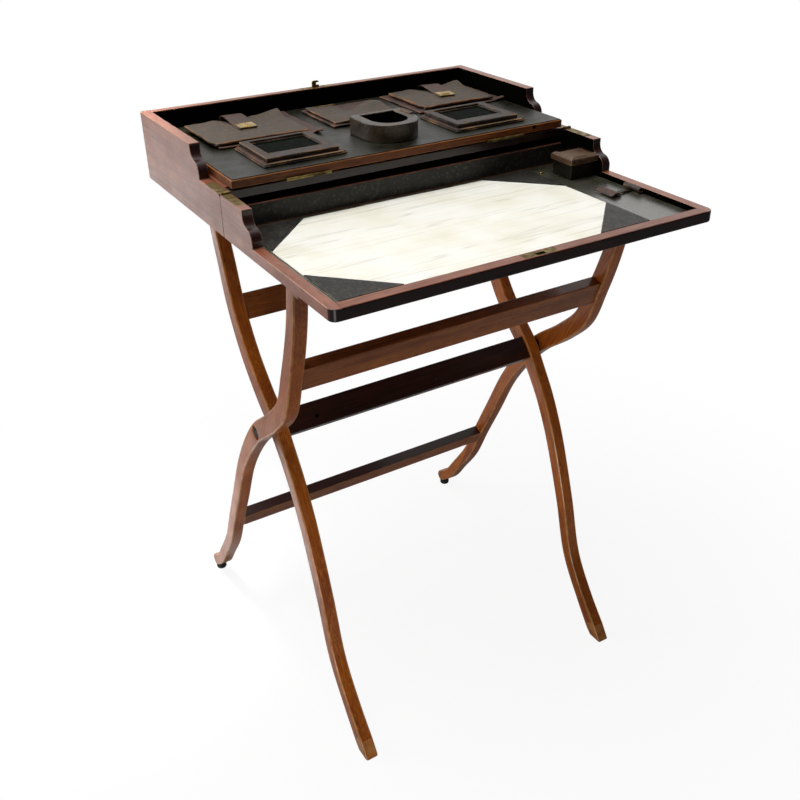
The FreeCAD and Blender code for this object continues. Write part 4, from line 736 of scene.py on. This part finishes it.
def strip(x0, x1, path, thickness, edge):
    """A strap laid over a path of (y, z) points, its ends square."""
    bpy.ops.object.select_all(action="DESELECT")
    bpy.ops.mesh.primitive_plane_add(size=1)
    piece = bpy.context.object
    piece.scale = (x1 - x0, 1, 1)
    settle(piece)
    start, second = (Vector((0, *point)) for point in path[:2])
    for vertex in piece.data.vertices:
        across = Vector(((x0 + x1) / 2 + vertex.co.x, 0, 0))
        vertex.co = across + (start if vertex.co.y < 0 else second)
    for a, b in zip(path[1:-1], path[2:]):
        pick(piece, "EDGE",
             lambda p, q: all(abs(c.y - a[0]) + abs(c.z - a[1]) < 0.01 for c in (p, q)))
        draw_out(0, b[0] - a[0], b[1] - a[1])
        close()
    pick(piece, "EDGE", lambda p, q: abs(p.x - q.x) > 1)
    bpy.ops.mesh.subdivide(number_cuts=7)
    close()
    modify(piece, "SUBSURF", levels=1, render_levels=1)
    skin_to_hide(piece, thickness, edge)
    return piece


def pouch(name, outline, backing, strap_x, gone):
    """A flat pocket of two hides sewn on a wider backing, its mouth to the back of the board. The
    backing's corners lift and curl, and the front sinks where the strap draws it in."""
    x0, x1, y0, y1 = backing
    backing_z, front_z = 774.6, 779.4
    back = hide(x0, x1, y0, y1, backing_z)
    work(back, backing_z,
         (x1, y0, 16, (0, 0, 2.4)), (x0, y0, 16, (0, 0, 0.8)), (x1, y1, 16, (0, 0, 1.0)),
         (x1, y0 + 6, 8, (1.5, 0, 2.2)), (x1 - 9, y0, 7, (0, 1.2, 1.6)),
         (x1, (y0 + y1) / 2, 22, (-1.6, 0, 0.8)))
    skin_to_hide(back, 2.2, 0.7, 1.8)
    finish(back, name + "_backing", "board", under_hide)
    x0, x1, y0, y1 = outline
    gusset = block((x0 + 4, y0 + 3, 774.8), (x1 - 4, y1 - 6, 778.6))
    round_over(gusset, 1.2)
    finish(gusset, name + "_gusset", "board", board_hide)
    front = hide(x0, x1, y0, y1, front_z)
    middle = (x0 + x1) / 2
    work(front, front_z,
         (middle, (y0 + y1) / 2, 75, (0, 0, 1.6)), (strap_x, y1, 34, (0, -11, -2.2)),
         (x1, y1, 30, (4, 1, 4.5)), (x0, y0, 16, (5, 4, -0.8)), (x1, y0, 20, (0, 0, -0.6)),
         (middle - 20, y1, 16, (0, 2, 1.0)))
    skin_to_hide(front, 3.5, 1.3, 1.0)
    finish(front, name + "_front", "board", pouch_hide, gone)


# The upright line that a strap and its clasp sit askew about, as (y, z).
SKEW_LINE = (172, 784)


def swing(piece, x, degrees):
    """Sets a strap or clasp askew."""
    pick(piece, "VERT", lambda co: True)
    bpy.ops.transform.rotate(value=math.radians(degrees), orient_axis="Z",
                             center_override=(x, *SKEW_LINE))
    close()


def clasp(name, body, x, skew, gone):
    """A turned-edge brass plate with a raised boss, riveted to the strap's end."""
    plate = block((x - 12, 158.5, 783.4), (x + 12, 180.5, 785.2))
    pick(plate, "FACE", lambda centre, normal: normal.z > 0.9)
    bpy.ops.mesh.inset(thickness=2.4)
    bpy.ops.transform.translate(value=(0, 0, -0.7))
    bpy.ops.mesh.inset(thickness=3.2)
    draw_out(0, 0, 1.5)
    bpy.ops.transform.resize(value=(0.8, 0.62, 1))
    close()
    modify(plate, "BEVEL", width=0.45, segments=2, limit_method="ANGLE")
    swing(plate, x, skew)
    finish(plate, name, body, clasp_brass, gone)


pouch("left_pouch", (-216, -82, 120, 226), (-209, -63, 117, 241), -148, ["left_pouch"])
pouch("right_pouch", (104, 224, 131, 231), (95, 241, 127, 241), 168, ["right_pouch"])
# The strap rises from the board behind the pouch and lies down over its front, as (y, z).
STRAP_PATH = ((240, 776.5), (239, 780), (235.5, 783.4), (229, 785.2), (216, 785.6), (202, 785.0),
              (188, 783.8), (174, 783.2), (161, 783.0))
for side, x, skew in (("left", -150, 3.6), ("right", 165, 9.5)):
    strap = strip(x - 14, x + 14, STRAP_PATH, 1.7, 0.5)
    swing(strap, x, skew)
    finish(strap, side + "_strap", None, strap_hide, [side + "_pouch_strap"])
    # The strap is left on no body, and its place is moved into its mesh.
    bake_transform(strap)
    clasp(side + "_clasp", side + "_strap", x, skew, [side + "_pouch_clasp"])


# ------------------------ window cases
def window_case(name, gone):
    """A padded hide frame over two frayed backing sheets, with a tan piping in front."""
    low, high = box_mm(gone)
    for number, (inset, z, thickness) in enumerate(((0.0, 774.2, 2.0), (1.6, 776.0, 1.4))):
        under = hide(low.x + inset, high.x - inset, low.y + inset, high.y - inset, z)
        pull(under, (high.x, low.y, z), 14, (1.5, -0.5, 0.8))
        skin_to_hide(under, thickness, 0.5, 0.7)
        finish(under, f"{name}_backing_{number}", "board", under_hide if number else frame_hide)
    piping = block((low.x + 8, low.y + 0.6, 776.2), (high.x - 4, low.y + 2.4, 777.4))
    round_over(piping, 0.5)
    finish(piping, name + "_piping", "board", piping_hide)
    x0, x1, y0, y1 = low.x + 6.5, high.x - 6.5, low.y + 7, high.y - 1
    padded = block((x0, y0, 776.9), (x1, y1, 782.4))
    border = 11
    pick(padded, "FACE", lambda centre, normal: normal.z > 0.9)
    bpy.ops.mesh.inset(thickness=border)
    close()
    # The window sits to the back: its front border is wider, its back one narrower.
    front_edge, back_edge = y0 + border, y1 - border
    for edge_y, step in ((front_edge, 9), (back_edge, 5.5)):
        pick(padded, "VERT", lambda co: abs(co.y - edge_y) < 0.1 and abs(co.x - x0) > 5)
        bpy.ops.transform.translate(value=(0, step, 0))
        close()
    pick(padded, "FACE", lambda centre, normal: normal.z > 0.9
         and front_edge < centre.y < back_edge and x0 + 20 < centre.x < x1 - 20)
    draw_out(0, 0, -3.6)
    close()
    round_over(padded, 1.3)
    finish(padded, name + "_frame", "board", frame_hide, [gone])
    cover(padded, pane, lambda centre, normal: normal.z > 0.9 and centre.z < 0.7795)


window_case("left_window", "left_window_case")
window_case("right_window", "right_window_case")

# ------------------------ holder ring and its loop
low, high = box_mm("holder_ring")
ring_wall = 13.5  # its back one is thinner
ring = block(low, high)
pick(ring, "EDGE", lambda p, q: abs(p.z - q.z) > 1 and p.y < low.y + 1)
bpy.ops.mesh.bevel(offset=39, segments=28, affect="EDGES")
bpy.ops.mesh.select_all(action="SELECT")
bpy.ops.mesh.remove_doubles(threshold=0.05)
close()
pick(ring, "FACE", lambda centre, normal: normal.z > 0.9)
bpy.ops.mesh.inset(thickness=ring_wall)
close()
pick(ring, "VERT", lambda co: co.z > high.z - 0.1 and abs(co.y - high.y + ring_wall) < 1
     and low.x + 12 < co.x < high.x - 12)
bpy.ops.transform.translate(value=(0, 7, 0))
close()
pick(ring, "FACE", lambda centre, normal: normal.z > 0.9 and abs(centre.x - 3) < 4
     and low.y + 16 < centre.y < high.y - 20)
draw_out(0, 0, low.z + 0.6 - high.z)
close()
pick(ring, "EDGE", lambda p, q: abs(p.z - q.z) > 20 and p.y > high.y - 1)
bpy.ops.mesh.bevel(offset=4, segments=4, affect="EDGES")
close()
round_over(ring, 1.4, 4, 50)
finish(ring, "holder_cup", "board", ring_hide, ["holder_ring"])
# Centre of the bore's round front, in metres. The bore is painted with the black lining as painted
# shade deep in the cup.
bore = Vector((0.003, 0.0603))
# Painted shade: the inside of the cup is painted black.
cover(ring, lining, lambda centre, normal: centre.z < 0.7935 and abs(centre.x - bore.x) < 0.0275
      and ((centre.xy - bore).length < 0.03 or bore.y < centre.y < 0.091))


def band(name, x0, x1, path, thickness, edge, turn, body, material, gone=()):
    """A strip turned to lie along x."""
    piece = strip(x0, x1, path, thickness, edge)
    piece.rotation_euler = (0, 0, turn)
    settle(piece)
    finish(piece, name, body, material, gone)


KEEPER_PATH = ((-36, 796.2), (-40, 797.0), (-44, 796.2), (-47.0, 793), (-48.2, 788),
               (-48.0, 781), (-46, 775.4))
band("holder_keeper", 60, 88, KEEPER_PATH, 2.4, 0.8, QUARTER, "board", frame_hide,
     ["holder_loop"])

# ------------------------ centre pouch
base = hide(-41, 65, 128, 229, 775)
skin_to_hide(base, 2.6, 0.8, 1.0)
finish(base, "centre_backing", "board", under_hide, ["centre_pouch"])
# The flap is cut away at the back right, and its cut corner curls up.
flap_z = 779
flap = hide(-38, 64, 131, 222, flap_z)
pick(flap, "VERT", lambda co: co.x > 6 and co.y > 186)
bpy.ops.mesh.delete(type="VERT")
close()
work(flap, flap_z, (50, 187, 34, (0, 3, 7)), (14, 187, 16, (0, -4, -1.5)),
     (-38, 131, 26, (2, 3, -1.8)), (-10, 150, 24, (0, 0, 1.6)), (-36, 222, 20, (0, 0, 0.8)))
skin_to_hide(flap, 2.4, 0.9, 1.4)
finish(flap, "centre_flap_hide", "board", pouch_hide, ["centre_flap"])

# ------------------------ blotter and its corners
low, high = box_mm("blotter")
sheet = hide(low.x, high.x, low.y, high.y, 713.6, 5)
crumple(sheet, 60, 0.8)
modify(sheet, "SOLIDIFY", thickness=0.8, offset=0.0)
finish(sheet, "blotter_sheet", "leaf", paper, ["blotter"])
# Each corner piece is a square cut across, with a line creased along its slanted edge.
corner_side, crease = 90, 48.7
for number, (x, y, to_x, to_y) in enumerate((
        (low.x, low.y, 1, 1), (high.x, low.y, -1, 1), (high.x, high.y, -1, -1),
        (low.x, high.y, 1, -1))):
    far_x, far_y = x + corner_side * to_x, y + corner_side * to_y
    corner = block((min(x, far_x), min(y, far_y), 713.3), (max(x, far_x), max(y, far_y), 715.2))
    for steep, shallow in ((39, 35), (32, 40)):
        pick(corner, "FACE", lambda centre, normal: True)
        bpy.ops.mesh.bisect(plane_co=(x + 39 * to_x, y + 38 * to_y, 714), use_fill=True,
                            plane_no=(-to_x * steep, -to_y * shallow, 0), clear_inner=True)
        close()
    round_over(corner, 0.5, 2)
    slant = Vector((to_x, to_y, 0)).normalized()
    start = Vector((x, y, 714)).dot(slant)
    for reach in (crease - 0.5, crease, crease + 0.5):
        pick(corner, "FACE", lambda centre, normal: True)
        bpy.ops.mesh.bisect(plane_co=slant * (start + reach), plane_no=slant)
        close()
    pick(corner, "VERT", lambda co: co.z > 715 and abs(co.dot(slant) - start - crease) < 0.05)
    bpy.ops.transform.translate(value=(0, 0, -0.35))
    close()
    finish(corner, f"blotter_corner_{number}", "leaf", corner_hide,
           ["blotter_corners"])

# ------------------------ inkwell
eased("inkwell_body", "leaf", 0.8, board_hide)
lid = joined_copy("inkwell_lid")
pick(lid, "FACE", lambda centre, normal: normal.z > 0.9 and centre.z > 742)
bpy.ops.mesh.inset(thickness=4.5)
bpy.ops.transform.translate(value=(0, 0, 0.2))
close()
ease(lid, 0.9)
finish(lid, "inkwell_lid_covered", "inkwell_lid", lid_hide, ["inkwell_lid"])

# ------------------------ pen loop
TAB_PATH = ((218, 714.2), (216, 716), (212, 718.2), (207, 718.6), (203, 716.8), (201, 714.2))
ROLL_PATH = ((239, 713.6), (243.5, 713.6), (246.4, 716), (246.2, 719.6), (243, 721.6),
             (239.6, 720.6), (238.4, 717.6), (240.2, 715.6), (243, 716.4), (243, 718.4))
THONG_PATH = ((212, 714.6), (217, 714), (223, 715.6), (230, 716), (236, 714.4), (241, 714.4))
band("pen_loop_tab", 127, 159, TAB_PATH, 1.5, 0.5, -QUARTER, "leaf", strap_hide, ["pen_strap"])
band("pen_loop_roll", 137, 166, ROLL_PATH, 1.1, 0.35, -QUARTER, "leaf", frame_hide, ["pen_roll"])
band("pen_loop_thong", 146, 153, THONG_PATH, 1.2, 0.4, -QUARTER, "leaf", board_hide)

# ------------------------ small metal
bpy.ops.object.select_all(action="DESELECT")
bpy.ops.mesh.primitive_cylinder_add(vertices=32, radius=2.7, depth=2.2, location=(192.5, -29, 714))
stud = bpy.context.object
stud.scale = (1.35, 0.8, 1)
settle(stud)
modify(stud, "BEVEL", width=1.0, segments=5, limit_method="ANGLE", angle_limit=0.9)
finish(stud, "pen_tray_stud", "leaf", clasp_brass, ["brass_stud"])
eased("lock_catch", "case", 0.35, brass)
# A screw and a filled peg hole in the front of the middle rail.
turned("rail_screw", (32, -13.4, 431), 2.2, 1.6, "inner_frame", steel, nick=0.6)
turned("rail_plug", (-160.8, -13.6, 433), 2.8, 1.2, "inner_frame", lining)
low, high = box_mm("foot_glides")
for side, hand in ((-1, "left"), (1, "right")):
    turned(f"pivot_cap_{hand}", (side * 243.6, *PIVOT), 8.4, 2.4, "inner_frame", brass,
           axis=ALONG_X)
    turned(f"glide_{hand}", (side * (high.x - 6.5), (low.y + high.y) / 2, 5.5), 8.5, 11,
           "outer_frame", rubber, axis=ALONG_Z, replaced=["foot_glides"])

# ------------------------ carried-over solids
FINISHES = {
    mahogany_long: ("case_bottom", "leaf_panel", "board_rests"),
    board_hide: ("board_leather",),
    corner_hide: ("case_front_facing",),
    writing_hide: ("writing_leather",),
    lining: ("case_lining",),
    brass: ("board_hinge_lower", "board_hinge_upper", "case_hinge_leaves", "leaf_hinge_leaves",
            "brass_stud", "inkwell_pin", "lock_case", "lock_catch", "lock_plate"),
    steel: ("lock_bolt", "pivot_bolts", "top_pivot_bolts"),
    rubber: ("foot_glides",),
    glass: ("ink_bottle",),
    clasp_brass: ("left_pouch_clasp", "right_pouch_clasp", "centre_bar"),
    paper: ("blotter",),
    pane: ("window_panes",),
    pouch_hide: ("left_pouch", "right_pouch", "left_pouch_strap", "right_pouch_strap",
                 "centre_pouch", "centre_flap"),
    ring_hide: ("holder_ring", "holder_loop"),
    frame_hide: ("left_window_case", "right_window_case", "blotter_corners", "inkwell_body",
                 "inkwell_lid", "pen_strap", "pen_roll"),
}
for material, names in FINISHES.items():
    for name in names:
        for part_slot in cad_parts[name].material_slots:
            part_slot.material = material

# ------------------------ camera, stage and light
# A long lens from the front left, above the writing leaf: its place and its three axes.
camera = bpy.data.objects.new("camera", bpy.data.cameras.new("camera"))
bpy.context.collection.objects.link(camera)
camera.data.sensor_width = 36
camera.data.lens = 42.57
camera.data.clip_start = 0.05
right = Vector((0.85391, -0.52030, -0.01091))
up = Vector((0.27576, 0.43459, 0.85737))
back = Vector((-0.44135, -0.73513, 0.51458))
turn = Matrix((right, up, back)).transposed().to_4x4()
camera.matrix_world = Matrix.Translation((-0.6271, -1.01015, 1.1134)) @ turn
bpy.context.scene.camera = camera


def camera_sees(tree, lit, white):
    """Shows the camera the second shader, and everything else the surface as it is lit."""
    path = node(tree, "LightPath")
    return node(tree, "MixShader", {0: path.outputs["Is Camera Ray"], 1: lit, 2: white}).outputs[0]


# The studio is white behind the desk and over the floor round it, and dim behind the camera, so
# polished wood, brass and glass show both.
world = bpy.data.worlds.new("studio")
world.use_nodes = True
tree = world.node_tree
tree.nodes.clear()
heading = node(tree, "SeparateXYZ", {0: node(tree, "TexCoord").outputs["Generated"]})
behind = node(tree, "MapRange", {0: heading.outputs["Y"], 1: -0.35, 2: 0.45, 3: 0.06, 4: 1.0},
              interpolation_type="SMOOTHSTEP")
path = node(tree, "LightPath")
mirrored = node(tree, "Math", {0: path.outputs["Is Glossy Ray"],
                               1: path.outputs["Is Transmission Ray"]}, operation="MAXIMUM")
level = node(tree, "MapRange", {0: mirrored.outputs[0], 3: 0.35, 4: 0.9})
strength = node(tree, "Math", {0: behind.outputs[0], 1: level.outputs[0]}, operation="MULTIPLY")
soft = node(tree, "Background", {"Color": linear("#f6f6f6"), "Strength": strength.outputs[0]})
plain = node(tree, "Background", {"Color": (1, 1, 1, 1), "Strength": 1.0})
node(tree, "OutputWorld", {0: camera_sees(tree, soft.outputs[0], plain.outputs[0])})
bpy.context.scene.world = world

bpy.ops.object.select_all(action="DESELECT")
bpy.ops.mesh.primitive_plane_add(size=40)
floor = bpy.context.object
floor.name = "studio_floor"
floor_paint = bpy.data.materials.new("studio_floor_white")
floor_paint.use_nodes = True
tree = floor_paint.node_tree
tree.nodes.clear()
# Pale paper lies under the wash lamp and the boards beyond it are grey, so that walls and legs
# mirror a bright patch that fades. The camera sees white, but for the shadow near the desk.
spot = node(tree, "TexCoord").outputs["Object"]
reach = node(tree, "VectorMath", {0: spot, 1: (-1.1, 2.6, 0)}, operation="DISTANCE")
paper_edge = node(tree, "MapRange", {0: reach.outputs["Value"], 1: 0.7, 2: 1.7, 3: 0.92, 4: 0.3},
                  interpolation_type="SMOOTHSTEP")
matt = node(tree, "BsdfDiffuse", {"Color": paper_edge.outputs[0]})
under = node(tree, "VectorMath", {0: spot}, operation="LENGTH")
whitened = node(tree, "MapRange", {0: under.outputs["Value"], 1: 0.5, 2: 1.1, 3: 0.9, 4: 1.0},
                interpolation_type="SMOOTHSTEP")
seen = node(tree, "BsdfDiffuse", {"Color": linear("#f0f0f0")})
lift = node(tree, "Emission", {"Color": (1, 1, 1, 1), "Strength": 1.0})
blended = node(tree, "MixShader", {0: whitened.outputs[0], 1: seen.outputs[0], 2: lift.outputs[0]})
node(tree, "OutputMaterial", {0: camera_sees(tree, matt.outputs[0], blended.outputs[0])})
floor.data.materials.append(floor_paint)


def softbox(name, place, aim, size, power, spread=180):
    """A square lamp at a place, turned to its aim, of a size in metres and a power in watts."""
    light = bpy.data.lights.new(name, "AREA")
    light.energy = power
    light.size = size
    light.spread = math.radians(spread)
    lamp = bpy.data.objects.new(name, light)
    bpy.context.collection.objects.link(lamp)
    lamp.location = place
    lamp.rotation_euler = (Vector(aim) - Vector(place)).to_track_quat("-Z", "Y").to_euler()


# A window behind the left side, a pale ceiling and a weaker window on the right light the desk.
softbox("window_light", (-1.7, 1.35, 1.2), (-0.2, 0.1, 0.7), 1.2, 22)
softbox("ceiling_light", (-0.6, 0.15, 2.9), (0, 0, 0.7), 1.6, 57)
softbox("window_right", (2.8, 0.7, 1.1), (0, 0, 0.6), 1.6, 14)
# The rest light the floor that the left faces mirror, and the feet from low down in front.
softbox("floor_wash", (-1.1, 2.6, 2.6), (-1.1, 2.6, 0), 0.9, 14, spread=80)
softbox("low_front", (-0.7, -1.1, 0.03), (0.05, 0, 0.17), 0.7, 1.6, spread=50)
softbox("floor_pool", (-0.42, 0.32, 1.5), (-0.42, 0.32, 0), 0.3, 1.8, spread=25)

bpy.context.scene.view_settings.view_transform = "Standard"
